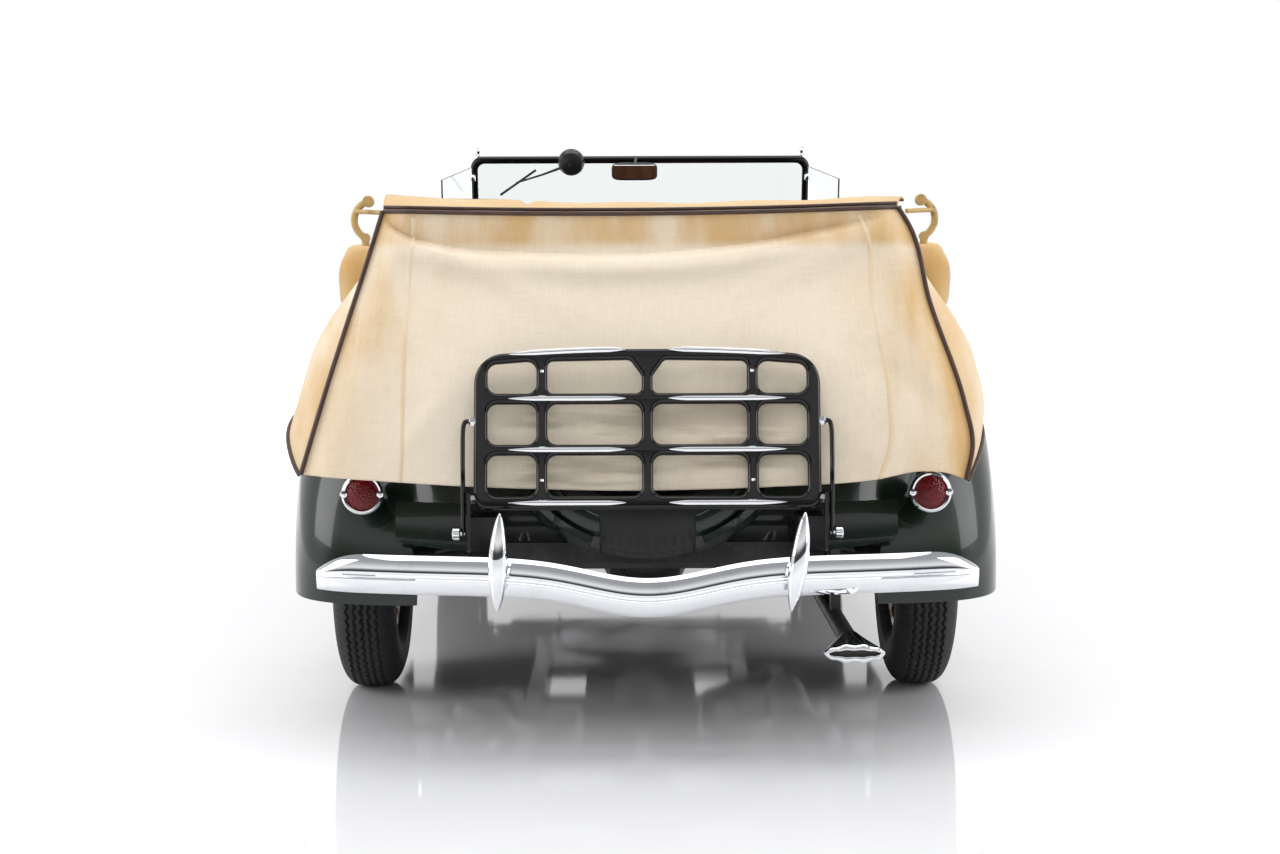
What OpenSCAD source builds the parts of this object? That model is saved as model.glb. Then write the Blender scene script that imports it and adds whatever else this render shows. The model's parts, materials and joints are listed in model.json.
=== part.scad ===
/* [Chassis] */
// Distance between the axles
wheelbase = 2845; // [2830:1:2860]
// Rear axle to the back of the rear bumper guards
rear_overhang = 1130; // [1126:1:1140]
// Front axle to the front of the front bumper guards
front_overhang = 690; // [686:1:700]
// Distance between the front wheels' centre planes
front_track = 1410; // [1404:1:1416]
// Distance between the rear wheels' centre planes
rear_track = 1480; // [1474:1:1486]
// Height of the frame rails' underside
rail_low_z = 430; // [426:1:434]
// Height of a frame rail
rail_h = 120; // [110:1:124]
// Width of a frame rail
rail_w = 60; // [50:1:64]
// Middle of a frame rail from the centre line
rail_x = 390; // [384:1:392]

/* [Wheels] */
// Tyre radius, which is also the axle height
tyre_r = 356; // [352:1:360]
// Tyre section width
tyre_w = 162; // [154:1:166]
// Gap between a tyre and its rim
seat_gap = 0.4; // [0.3:0.1:0.8]
// Radius of the wheel spindles
spindle_r = 18; // [16:0.5:20]
// Radial gap of a hub on its spindle
hub_gap = 0.5; // [0.4:0.1:1]
// Kingpin to the wheel's centre plane
kingpin_in = 110; // [108:1:114]
// Radius of the kingpins
kingpin_r = 12; // [10:0.5:13]
// Length of the steering arms
steer_arm = 150; // [140:1:160]

/* [Body] */
// Body width at the waist
body_w = 1410; // [1400:1:1416]
// Height of the belt line
belt_z = 1115; // [1110:1:1120]
// Height of the doors' lower edge
door_low_z = 482; // [480:1:486]
// Thickness of the doors and body walls
wall = 40; // [36:1:44]
// Gap around a door or a hood half
panel_gap = 6; // [6:0.5:8]
// Front edge of the front doors from the rear axle
door_front_y = 1505; // [1500:1:1510]
// Middle of the door post from the rear axle
post_y = 618; // [612:1:624]
// Rear edge of the rear doors from the rear axle
door_rear_y = 30; // [24:1:36]
// Lean of the tail and the spare wheel
tail_lean = 16; // [15:0.5:17]
// Thickness of the fender and hood sheets
sheet_t = 5; // [4:0.5:6]
// Overall width over the fenders
fender_w = 1780; // [1770:1:1790]

/* [Fittings] */
// Width of the luggage rack
rack_w = 806; // [800:1:810]
// Height of the luggage rack along its lean
rack_h = 374; // [366:1:380]
// Forward lean of the luggage rack
rack_lean = 12; // [11:0.5:13]
// Radius of the rack's hinge pins
rack_pin_r = 8; // [6:0.5:9]
// Width of the windshield frame
shield_w = 1146; // [1140:1:1150]
// Height of the windshield frame
shield_h = 350; // [340:1:356]
// Backward lean of the windshield
shield_lean = 15; // [14:0.5:16]
// Height of the bumper blades
blade_h = 90; // [84:1:94]
// Drop of the rear bumper blade at its middle
blade_dip = 48; // [44:1:52]
// Height of the folded top's cover
boot_top_z = 1296; // [1290:1:1300]

/* [Hidden] */
$fn = 48;
axle_z = tyre_r;
rear_axle_y = (rear_overhang - wheelbase - front_overhang) / 2;
kp_x = front_track / 2 - kingpin_in;
rail_top_z = rail_low_z + rail_h;
rail_out = rail_x + rail_w / 2;
rail_in = rail_x - rail_w / 2;
floor_t = 12;
floor_top_z = rail_top_z + floor_t;
waist_y = 300;
cowl_y = 1790;
cowl_taper = 160;
nose_y = wheelbase + 41;
nose_half_w = 215;
hood_low_z = 700;
cowl_crown_z = belt_z - 60;
cowl_top_z = belt_z + 50;
nose_crown_z = 775;
nose_top_z = 1092;
corner_y = -250;
tail_belt_y = -600;
arch_r = tyre_r + 89;
fender_out = fender_w / 2;
rack_hinge_y = -985;
rack_hinge_z = 606;
spare_z = 800;
spare_off = 91;
shield_y = 1640;
shield_z = 1205;
hood_rod_r = 5;
hinge_r = 7;
hinge_pin_r = 4;
hinge_zs = [930, 1050];
board_front_y = wheelbase - 860.5;
board_w = 205;
board_in = fender_out - 25 - board_w;
wheelhouse_in = min(rear_track / 2 - tyre_w / 2 - 63, body_w / 2 - 109);
rear_spring_half = rear_track / 2 - 180;
front_spring_half = kp_x - 155;
engine_back_y = cowl_y + 290;
engine_front_y = wheelbase - 155;
rear_blade_y = 48 - rear_overhang;
front_blade_y = wheelbase + front_overhang - 48;
board_rear_y = 508;
jack_ys = [900, 1700];
jack_pad_h = 12;
jack_bore_r = 10;
board_z = 370;
board_t = 22;

body_col = [0.09, 0.13, 0.11];
black = [0.06, 0.06, 0.06];
steel = [0.35, 0.35, 0.36];
chrome = [0.8, 0.8, 0.82];
rubber = [0.1, 0.1, 0.1];
canvas = [0.78, 0.69, 0.54];
leather = [0.36, 0.2, 0.12];
glass = [0.75, 0.85, 0.85];
red = [0.6, 0.05, 0.05];
tan = [0.72, 0.6, 0.44];

function mix(a, b, t) = a + (b - a) * t;
function unit(v) = norm(v) < 1e-6 ? [0, 0, 1] : v / norm(v);
function ramp(t) = 0.5 - 0.5 * cos(180 * min(1, max(0, t)));
function clip(t) = min(1, max(0, t));

// inward offset of a grid of points along its own normals
function inset(g, t) = [for (r = [0 : len(g) - 1]) [for (c = [0 : len(g[0]) - 1])
    g[r][c] - t * unit(cross(
        g[min(r + 1, len(g) - 1)][c] - g[max(r - 1, 0)][c],
        g[r][min(c + 1, len(g[0]) - 1)] - g[r][max(c - 1, 0)]))]];
function moved(g, v) = [for (row = g) [for (p = row) p + v]];

// closed wall between an outer and an inner grid of points
module sheet(outer, inner) {
    nr = len(outer);
    nc = len(outer[0]);
    half = nr * nc;
    quads = concat(
        [for (r = [0 : nr - 2]) for (c = [0 : nc - 2])
            [r * nc + c, r * nc + c + 1, r * nc + nc + c + 1, r * nc + nc + c]],
        [for (r = [0 : nr - 2]) for (c = [0 : nc - 2])
            [r * nc + c, r * nc + nc + c, r * nc + nc + c + 1, r * nc + c + 1] + half * [1, 1, 1, 1]],
        [for (c = [0 : nc - 2]) [c + 1, c, half + c, half + c + 1]],
        [for (c = [0 : nc - 2]) let (b = (nr - 1) * nc + c) [b, b + 1, half + b + 1, half + b]],
        [for (r = [0 : nr - 2]) let (b = r * nc) [b, b + nc, half + b + nc, half + b]],
        [for (r = [0 : nr - 2]) let (b = r * nc + nc - 1) [b + nc, b, half + b, half + b + nc]]);
    polyhedron(
        points = [for (g = [outer, inner]) for (row = g) for (p = row) p],
        faces = [for (q = quads) for (k = [1, 2]) [q[0], q[k], q[k + 1]]]);
}

module placed() {
    translate([0, rear_axle_y, 0]) children();
}

module pair() {
    children();
    mirror([1, 0, 0]) children();
}

// round bar between two points
module bar(a, b, r) {
    d = b - a;
    translate(a) rotate([0, acos(d[2] / norm(d)), atan2(d[1], d[0])]) cylinder(r = r, h = norm(d));
}

// box given by its two corners
module box(a, b) {
    translate(a) cube(b - a);
}

// outline in the X-Z plane drawn out along Y from y0
module across(y0, d, pts) {
    translate([0, y0 + d, 0]) rotate([90, 0, 0]) linear_extrude(d) polygon(pts);
}

// outline in the Y-Z plane drawn out along X from x0
module along(x0, d, pts) {
    translate([x0, 0, 0]) rotate([90, 0, 90]) linear_extrude(d) polygon(pts);
}

// rounded rectangle standing on the X axis
function rounded(w, h, r, n = 4) = [for (k = [0 : 3]) for (i = [0 : n])
    let (a = 90 * k + 90 * i / n)
    [(w / 2 - r) * (k == 0 || k == 3 ? 1 : -1) + r * cos(a), (k < 2 ? h - r : r) + r * sin(a)]];

function half_w(y) = body_w / 2 - cowl_taper * pow(max(0, y - waist_y) / (cowl_y - waist_y), 2);
function side_x(y, z) = half_w(y) * (1 - 0.05 * pow((z - 850) / 430, 2));

// half section of the cowl and hood at station y, from height z0 to the crown's middle
function nose_part(y) = clip((y - cowl_y) / (nose_y - cowl_y));
function crown_z(y) = mix(cowl_crown_z, nose_crown_z, nose_part(y));
function top_z(y) = mix(cowl_top_z, nose_top_z, nose_part(y));
function crown_n(y) = mix(3, 2.2, nose_part(y));
function hood_x(y, z) = y < cowl_y ? side_x(y, z)
    : mix(side_x(cowl_y, z), nose_half_w, pow(nose_part(y), 0.85));
function crown_pt(y, a) = let (n = crown_n(y), w = hood_x(y, crown_z(y)))
    [w * pow(max(0, cos(a)), 2 / n), y, mix(crown_z(y), top_z(y), pow(max(0, sin(a)), 2 / n))];
function half_section(y, z0, ns, nc, end) = concat(
    [for (i = [0 : ns - 1]) let (z = mix(z0, crown_z(y), i / ns)) [hood_x(y, z), y, z]],
    [for (j = [0 : nc]) crown_pt(y, end * pow(j / nc, 0.8))]);

// middle line of the hood's hinge rod
function rod_pt(y) = [0, y, mix(cowl_top_z, nose_top_z, (y - cowl_y) / (nose_y - cowl_y))];

function arch_z(y, r) = abs(y) < r ? axle_z + sqrt(r * r - y * y) : 0;

module frame() {
    color(black) placed() {
        pair() {
            box([rail_in, -860, rail_low_z], [rail_out, wheelbase + 430, rail_top_z]);
            box([rail_x - 20, rear_blade_y + 23, 436], [rail_x + 25, -859, 470]);
            box([rail_x - 20, wheelbase + 429, 436], [rail_x + 20, front_blade_y - 16, 470]);
        }
        box([-rail_x, wheelbase - 105, rail_low_z], [rail_x, wheelbase + 45, rail_low_z + 50]);
        box([-rail_x, -190, rail_low_z + 25], [rail_x, -90, rail_top_z]);
        box([-rail_x, -780, rail_low_z], [rail_x, -740, rail_low_z + 50]);
        box([-rail_x, 1240, rail_low_z + 30], [rail_x, 1310, rail_low_z + 80]);
    }
}

// bored pads under the rails for jack stands
module jack_pads() {
    color(black) placed() pair() for (y = jack_ys) translate([rail_x, y, rail_low_z - jack_pad_h])
        difference() {
            cylinder(r = 28, h = jack_pad_h);
            translate([0, 0, -1]) cylinder(r = jack_bore_r, h = jack_pad_h + 2);
        }
}

module front_axle() {
    color(black) placed() translate([0, wheelbase, axle_z]) difference() {
        union() {
            across(-22, 44, [[kp_x - 15, 34], [kp_x - 60, 34], [470, -41], [-470, -41],
                [60 - kp_x, 34], [15 - kp_x, 34], [15 - kp_x, -34], [-500, -94], [500, -94],
                [kp_x - 15, -34]]);
            pair() translate([kp_x, 0, -40]) cylinder(r = 24, h = 80);
        }
        pair() translate([kp_x, 0, -50]) cylinder(r = kingpin_r + 0.4, h = 100);
    }
}

module rear_axle() {
    half = [[0, 0], [130, 0], [120, 50], [70, 95], [40, 112], [40, rear_track / 2 - 64],
        [150, rear_track / 2 - 64], [150, rear_track / 2 - 56], [spindle_r, rear_track / 2 - 56],
        [spindle_r, rear_track / 2 + 20], [0, rear_track / 2 + 20]];
    color(black) placed() translate([0, 0, axle_z]) {
        rotate([0, 90, 0]) rotate_extrude() polygon(concat(
            [for (i = [len(half) - 1 : -1 : 1]) [half[i][0], -half[i][1]]],
            [for (i = [2 : len(half) - 1]) half[i]]));
        bar([0, 80, 4], [0, 1480, 70], 32);
    }
}

// stepped transverse leaf spring: ends at z_end, middle at z_mid
module leaf_pack(half_len, z_end, z_mid, n_leaf) {
    for (i = [0 : n_leaf - 1]) {
        len_i = half_len * (1 - 0.14 * i);
        top = z_mid - 8 * i;
        across(-24, 48, concat(
            [for (k = [-6 : 6]) [len_i * k / 6, top - (z_mid - z_end) * pow(k / 6 * len_i / half_len, 2)]],
            [for (k = [6 : -1 : -6]) [len_i * k / 6,
                top - 8.2 - (z_mid - z_end) * pow(k / 6 * len_i / half_len, 2)]]));
    }
}

module leaf_springs() {
    color(black) placed() {
        translate([0, wheelbase, 0]) {
            leaf_pack(front_spring_half, axle_z - 20, rail_low_z, 6);
            pair() box([front_spring_half - 20, -14, axle_z - 41], [front_spring_half, 14, axle_z - 22]);
        }
        translate([0, -150, 0]) {
            leaf_pack(rear_spring_half, axle_z + 30, rail_low_z + 25, 5);
            pair() box([rear_spring_half - 20, 22, axle_z + 27], [rear_spring_half - 2, 120, axle_z + 39]);
        }
    }
}

function engine_y(share) = mix(engine_back_y, engine_front_y, share);

module engine() {
    color(steel) placed() {
        box([-210, engine_back_y, 470], [210, engine_front_y, 700]);
        pair() translate([40, 0, 640]) rotate([0, 35, 0])
            box([0, engine_y(0.07), 0], [130, engine_y(0.7), 190]);
        pair() box([205, engine_y(0.36), 480], [rail_in, engine_y(0.5), 505]);
        translate([0, engine_back_y + 1, 440]) rotate([90, 0, 0]) cylinder(r = 108, h = 580);
        translate([0, engine_y(0.44), 850]) cylinder(r = 110, h = 70);
        box([-60, engine_y(0.3), 700], [60, engine_y(0.59), 851]);
        box([-200, wheelbase - 95, rail_low_z + 50], [200, wheelbase - 40, 900]);
        translate([0, engine_front_y - 1, 640]) rotate([-90, 0, 0]) cylinder(r = 25, h = 40);
        translate([0, engine_front_y + 39, 640]) rotate([-90, 0, 0]) cylinder(r = 150, h = 10);
    }
}

rim_x_low = [[0, 440], [60, 445], [115, 560], [160, 760], [170, 880]];
rim_x_high = [[0, 1076], [70, 1064], [130, 1030], [160, 960], [170, 880]];
function rim_y(z) = wheelbase + mix(215, 90, (z - 440) / 640);
function grille_prow(x) = 55 * (1 - abs(x) / 170);
grille_pitch = 14.4;
grille_tilt = atan(125 / 640);
// height and half length of the rails behind the grille bars
grille_rails = [[620, 112], [760, 148], [900, 158]];
rail_level = 0;
rail_reach = 1;

module grille() {
    color(chrome) placed() {
        for (i = [-10 : 10]) {
            x = i * grille_pitch;
            z0 = lookup(abs(x), rim_x_low) + 12;
            z1 = lookup(abs(x), rim_x_high) - 12;
            translate([x, rim_y(z0) + grille_prow(x), z0]) rotate([grille_tilt, 0, 0])
                box([-2.5, -8, 0], [2.5, 6, (z1 - z0) / cos(grille_tilt)]);
        }
        for (r = grille_rails) pair()
            translate([0, rim_y(r[rail_level]) + grille_prow(0) - 9, r[rail_level]])
                rotate([0, 0, -atan(55 / 170)]) box([-4, -5, 0], [r[rail_reach], 5, 8]);
        for (z = [620, 760]) pair() box([70, wheelbase - 40, z], [82, rim_y(z) + 22, z + 8]);
    }
}

// ring between the hood's front edge and the grille, right half from bottom to crown
function shell_rim(t) = t < 0.55
    ? let (x = mix(64, 170, pow(t / 0.55, 0.9)), z = lookup(x, rim_x_low)) [x + 4, rim_y(z), z]
    : let (x = 170 * cos(90 * (t - 0.55) / 0.45), z = lookup(x, rim_x_high))
        [x + 4 * (1 - t) / 0.45, rim_y(z), z + 4];

module grille_shell() {
    n = 14;
    hoodside = [for (i = [0 : n]) let (t = i / n)
        t < 0.4
        ? [hood_x(nose_y, 600) - 60 * (1 - t / 0.4), nose_y + panel_gap + 2, mix(470, nose_crown_z, t / 0.4)]
        : let (p = crown_pt(nose_y, 90 * (t - 0.4) / 0.6)) [p[0], nose_y + panel_gap + 2, p[2]]];
    grid = [for (k = [0 : 4]) concat(
        [for (i = [0 : n]) let (p = mix(hoodside[i], shell_rim(i / n), k / 4))
            p + [10 * sin(45 * k) * (1 - i / n), 0, 8 * sin(45 * k) * i / n]],
        [for (i = [n - 1 : -1 : 0]) let (p = mix(hoodside[i], shell_rim(i / n), k / 4))
            [-p[0] - 10 * sin(45 * k) * (1 - i / n), p[1], p[2] + 8 * sin(45 * k) * i / n]])];
    color(body_col) placed() sheet(grid, inset(grid, sheet_t));
}

module cowl() {
    n = 5;
    rows = [for (k = [0 : n]) let (y = mix(door_front_y + panel_gap, cowl_y, k / n),
        h = half_section(y, door_low_z, 6, 9, 90))
        concat(h, [for (i = [len(h) - 2 : -1 : 0]) [-h[i][0], h[i][1], h[i][2]]])];
    color(body_col) placed() {
        sheet(rows, inset(rows, sheet_t));
        across(door_front_y + 20, 24, inner_outline(door_front_y + 20, 940, sheet_t - 2));
        across(cowl_y - 30, 10, inner_outline(cowl_y - 25, floor_top_z, sheet_t - 2));
        bar(rod_pt(cowl_y - 25), rod_pt(nose_y + panel_gap + 1.7), hood_rod_r);
        pair() {
            box([shield_w / 2 - 20, shield_y - 18, 1030], [shield_w / 2 + 22, shield_y + 18, 1090]);
            box([shield_w / 2 + 8, shield_y - 18, 1080], [shield_w / 2 + 22, shield_y + 18, shield_z + 40]);
            translate([shield_w / 2 - 20, shield_y, shield_z]) rotate([0, 90, 0]) cylinder(r = 8, h = 30);
            body_hinges(front_hinge, 1);
        }
    }
}

// section of the cowl's inside above height z0, as an X-Z outline
function inner_outline(y, z0, gap) = let (h = half_section(y, z0, 4, 9, 90))
    let (right = [for (p = h) [max(0, p[0] - gap), p[2] - (p[2] > crown_z(y) + 40 ? gap : 0)]])
    concat(right, [for (i = [len(h) - 2 : -1 : 0]) [-right[i][0], right[i][1]]]);

// inner edge of the door openings at station y
function sill_x(y) = min(side_x(y, door_low_z) - wall - 12, wheelhouse_in + 10);

module underbody() {
    sill_ys = [for (k = [0 : 4]) mix(cowl_y - 32, 600, k / 4)];
    tail_w = side_x(0, rail_top_z) - wall - 3;
    tail_d = corner_y - tail_y(floor_top_z) - wall - 3;
    right = concat([for (y = concat(sill_ys, [corner_y])) [sill_x(y), y]],
        [for (i = [1 : 12]) let (a = 90 * i / 12, x = tail_w * pow(max(0, cos(a)), 0.667))
            if (x < wheelhouse_in + 10) [x, corner_y - tail_d * pow(sin(a), 0.667)]]);
    left = [for (i = [len(right) - 2 : -1 : 0]) [-right[i][0], right[i][1]]];
    color(body_col) placed() {
        translate([0, 0, rail_top_z]) linear_extrude(floor_t) polygon(concat(right, left));
        pair() {
            along(wheelhouse_in, 10, [for (i = [0 : 14]) let (a = 26.5 + 127 * i / 14)
                [(arch_r + 12) * cos(a), axle_z + (arch_r + 12) * sin(a)]]);
            translate([wheelhouse_in + 4, 0, axle_z]) rotate([90, 0, 90]) rotate([0, 0, 28])
                rotate_extrude(angle = 124) translate([arch_r + 2, 0]) square([9, 40]);
            translate([0, 0, rail_top_z - 70]) linear_extrude(71) polygon(concat(
                [for (y = sill_ys) [sill_x(y), y]],
                [for (k = [4 : -1 : 0]) [sill_x(sill_ys[k]) - 44, sill_ys[k]]]));
        }
    }
}

function tail_y(z) = tail_belt_y - (belt_z - z) * tan(tail_lean);
// body side and tail: q runs from the rear door's edge (0) round the corner to the middle (1)
function tail_pt(q, z) = q < 0.4
    ? let (y = mix(door_rear_y - panel_gap, corner_y, q / 0.4)) [side_x(y, z), y, z]
    : let (a = 90 * pow((q - 0.4) / 0.6, 0.9))
        [side_x(corner_y, z) * pow(max(0, cos(a)), 0.667),
         corner_y + (tail_y(z) - corner_y) * pow(sin(a), 0.667), z];

module rear_body() {
    n = 14;
    nz = 7;
    low = [for (i = [0 : n]) let (p = tail_pt(i / n, 700)) max(rail_top_z + 15, arch_z(p[1], arch_r + 13))];
    half = [for (k = [0 : nz]) [for (i = [0 : n]) tail_pt(i / n, mix(low[i], belt_z, k / nz))]];
    grid = [for (k = [0 : nz]) concat(half[k],
        [for (i = [n - 1 : -1 : 0]) [-half[k][i][0], half[k][i][1], half[k][i][2]]])];
    color(body_col) placed() {
        sheet(grid, inset(grid, wall));
        pair() {
            door_sill_strip();
            body_hinges(rear_hinge, -1);
        }
    }
}

// jamb under the rear door's curved edge, which carries the fender
module door_sill_strip() {
    n = 9;
    y_end = sqrt(pow(arch_r + 70, 2) - pow(door_low_z - axle_z, 2));
    grid = [for (i = [0 : n]) let (y = mix(door_rear_y - panel_gap + 0.3, y_end, pow(i / n, 0.8)))
        [for (k = [0 : 2]) let (z = mix(max(door_low_z - 2, arch_z(y, arch_r + 13)),
            max(door_low_z, arch_z(y, arch_r + 70)), k / 2)) [side_x(y, z), y, z]]];
    sheet(grid, moved(grid, [-wall, 0, 0]));
}

function door_low(y) = max(door_low_z, arch_z(y, arch_r + 73 + panel_gap));

// right-hand door leaf between two stations
module door_leaf(y0, y1) {
    ny = 8;
    nz = 7;
    grid = [for (k = [0 : nz]) [for (i = [0 : ny]) let (y = mix(y0, y1, i / ny),
        z = mix(door_low(y), belt_z, k / nz)) [side_x(y, z), y, z]]];
    flip = [for (row = grid) [for (i = [ny : -1 : 0]) row[i]]];
    sheet(flip, moved(flip, [-wall, 0, 0]));
}

front_hinge = [half_w(door_front_y) + hinge_r + 5, door_front_y + panel_gap / 2];
rear_hinge = [half_w(door_rear_y) + hinge_r + 5, door_rear_y - panel_gap / 2];

// leaf, pin and end knuckles on the body side: dir is the side of the pin that the body lies on
module body_hinges(pin, dir) {
    for (z = hinge_zs) translate([pin[0], pin[1], z]) {
        cylinder(r = hinge_pin_r, h = 66, center = true);
        for (k = [-1, 1]) translate([0, 0, 27 * k]) {
            cylinder(r = hinge_r, h = 12, center = true);
            box([-hinge_r - 14, dir > 0 ? -2 : -30, -6], [1, dir > 0 ? 30 : 2, 6]);
        }
    }
}

// leaf and barrel on the door side
module door_hinges(pin, dir) {
    for (z = hinge_zs) translate([pin[0], pin[1], z]) difference() {
        union() {
            cylinder(r = hinge_r, h = 40, center = true);
            box([-hinge_r - 14, dir > 0 ? 4 : -30, -20], [0, dir > 0 ? 30 : -4, 20]);
        }
        cylinder(r = hinge_pin_r + 0.3, h = 50, center = true);
    }
}

module front_door() {
    color(body_col) placed() {
        door_leaf(post_y + 20 + panel_gap, door_front_y);
        door_hinges(front_hinge, -1);
    }
}

module rear_door() {
    color(body_col) placed() {
        door_leaf(door_rear_y, post_y - 20 - panel_gap);
        door_hinges(rear_hinge, 1);
    }
}

module door_front_right() {
    front_door();
}

module door_front_left() {
    mirror([1, 0, 0]) front_door();
}

module door_rear_right() {
    rear_door();
}

module door_rear_left() {
    mirror([1, 0, 0]) rear_door();
}

module door_posts() {
    grid = [for (k = [0 : 8]) [for (y = [post_y + 20, post_y - 20])
        let (z = mix(door_low_z, belt_z, k / 8)) [side_x(y, z), y, z]]];
    color(body_col) placed() pair() {
        sheet(grid, moved(grid, [-wall, 0, 0]));
        box([sill_x(post_y) + 0.3, post_y - 20, door_low_z],
            [side_x(post_y, door_low_z) - 30, post_y + 20, rail_top_z]);
    }
}

// barrel round the hood's centre rod, with a tab to the right-hand half
module hood_knuckle(y) {
    difference() {
        union() {
            bar(rod_pt(y), rod_pt(y + 66), hood_rod_r + 2.5);
            translate(rod_pt(y)) rotate([atan2(nose_top_z - cowl_top_z, nose_y - cowl_y), 0, 0])
                box([6, 2, -5], [24, 64, -1]);
        }
        bar(rod_pt(y - 5), rod_pt(y + 71), hood_rod_r + 0.3);
    }
}

module hood_half(knuckle_shares) {
    n = 8;
    y0 = cowl_y + panel_gap;
    edge = 8;
    grid = [for (k = [0 : n]) let (y = mix(y0, nose_y, k / n),
        h = half_section(y, hood_low_z, 4, 9, 90))
        [for (p = h) [max(edge, p[0]), p[1], p[2]]]];
    color(body_col) placed() {
        sheet(grid, inset(grid, sheet_t));
        for (k = knuckle_shares) hood_knuckle(mix(cowl_y, nose_y, k));
    }
}

module hood_right() {
    hood_half([0.1, 0.6]);
}

module hood_left() {
    mirror([1, 0, 0]) hood_half([0.355, 0.85]);
}

module hood_aprons() {
    n = 8;
    grid = [for (k = [0 : n]) let (y = mix(cowl_y + 2, nose_y, k / n), x = hood_x(y, 690))
        [[max(x, rail_out + 2), y, rail_top_z + 6], [x, y, 620], [x, y, hood_low_z - panel_gap]]];
    color(body_col) placed() pair() sheet(grid, inset(grid, sheet_t));
}

// front fender: stations from the axle, crown height, inner edge and lip
fender_steps = concat([526, 510, 470, 425], [for (a = [4 : 16 : 176]) 400 * cos(a)],
    [-420, -520, -620, -720, -800, -860]);
function fender_top(d) = d > 40
    ? mix(board_z - 35, 900, sqrt(max(0, 1 - pow((d - 40) / 490, 2))))
    : mix(board_z + board_t, 900, 1 - ramp((40 - d) / 900));
function fender_lip(d) = abs(d) < 400 ? axle_z + sqrt(160000 - d * d)
    : d > 0 ? mix(axle_z, board_z - 35, (d - 400) / 130) : mix(axle_z, board_z, (-d - 400) / 460);
function fender_in_x(d) = d > 40 ? mix(hood_x(nose_y, 690) + 1, rail_out + 15, pow((d - 40) / 490, 1.5))
    : max(hood_x(wheelbase + d, 690) + 1, (rail_out + 14) * ramp((-d - 320) / 190));
function fender_in_z(d) = min(hood_low_z - 14, fender_top(d) - 2);
function fender_out_x(d) = fender_out - 15 - (d > 0 ? 90 * pow(d / 530, 3) : 0);
function fender_pt(d, t) =
    let (xi = fender_in_x(d), xo = fender_out_x(d), xc = mix(xi, xo, 0.62),
        zi = fender_in_z(d), zt = fender_top(d), zl = min(fender_lip(d), zt - 1))
    t < 0.5 ? [mix(xi, xc, 2 * t), wheelbase + d, mix(zi, zt, ramp(2 * t))]
    : let (a = 180 * (t - 0.5)) [mix(xc, xo, pow(sin(a), 0.8)), wheelbase + d,
        mix(zl, zt, pow(max(0, cos(a)), 0.8))];

lamp_x = 400;
lamp_y = wheelbase + 225;
lamp_z = 872;
lamp_r = 105;

module front_fenders() {
    n = 12;
    grid = [for (d = fender_steps) [for (i = [0 : n]) fender_pt(d, i / n)]];
    color(body_col) placed() pair() {
        sheet(grid, inset(grid, sheet_t));
        translate([lamp_x, lamp_y, lamp_z]) rotate([-90, 0, 0]) rotate_extrude()
            polygon([[0, -160], [30, -150], [62, -110], [88, -50], [lamp_r - 4, 20], [lamp_r - 4, 80],
                [lamp_r - 12, 80], [lamp_r - 12, 20], [0, -40]]);
        translate([lamp_x + 10, lamp_y - 40, lamp_z - 140]) cylinder(r = 28, h = 80);
    }
}

module headlamps() {
    color(chrome) placed() pair() translate([lamp_x, lamp_y + 80, lamp_z]) rotate([-90, 0, 0])
        rotate_extrude() polygon([[0, -30], [lamp_r - 13, -30], [lamp_r - 13, 0.3], [lamp_r + 3, 0.3],
            [lamp_r + 3, 14], [lamp_r - 8, 20], [60, 30], [0, 36]]);
}

// rear fender: angle round the axle from the front lip over the top, radius at the body
function rear_in_r(a) = mix(arch_r + 60, arch_r + 205, ramp((a - 90) / 90));
function rear_fender_pt(a, f) =
    let (r = mix(arch_r - 45, rear_in_r(a), pow(max(0, cos(f)), 0.84)),
        y = r * cos(a), z = axle_z + r * sin(a),
        xb = y > corner_y ? side_x(y, max(z, door_low_z)) + 0.3 : rear_inner_x(y, max(z, door_low_z)) + 3.5)
    [mix(xb, fender_out, pow(sin(f), 0.84)), y, z];
// outer face of the body's corner at depth y
function rear_inner_x(y, z) = let (s = clip((corner_y - y) / (corner_y - tail_y(z))))
    max(560, side_x(corner_y, z) * pow(1 - pow(s, 3), 1 / 3));

lens_x = 692;
lens_y = -700;
lens_z = 592;
lens_r = 50;

module rear_fenders() {
    na = 18;
    nf = 9;
    grid = [for (i = [0 : na]) [for (j = [0 : nf])
        rear_fender_pt(mix(-5, 184, i / na), 90 * j / nf)]];
    color(body_col) placed() pair() {
        sheet(grid, inset(grid, sheet_t));
        translate([lens_x, lens_y, lens_z]) rotate([90, 0, 0]) rotate_extrude()
            polygon([[0, -110], [18, -95], [36, -60], [lens_r - 4, -10], [lens_r - 4, 0], [0, 0]]);
        bar([lens_x + 5, lens_y + 40, lens_z], [lens_x + 20, -585, lens_z - 60], 16);
    }
}

module tail_lamps() {
    color(chrome) placed() pair() translate([lens_x, lens_y, lens_z]) rotate([90, 0, 0]) {
        difference() {
            union() {
                cylinder(r = lens_r, h = 12);
                box([-lens_r - 8, -7, 0], [lens_r + 8, 7, 6]);
            }
            translate([0, 0, 3]) cylinder(r = lens_r - 9, h = 20);
        }
    }
}

module tail_lenses() {
    color(red) placed() pair() translate([lens_x, lens_y - 3, lens_z]) rotate([90, 0, 0])
        rotate_extrude() polygon([[0, 0], [lens_r - 9.4, 0], [lens_r - 9.4, 9], [30, 15], [0, 18]]);
}

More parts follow.
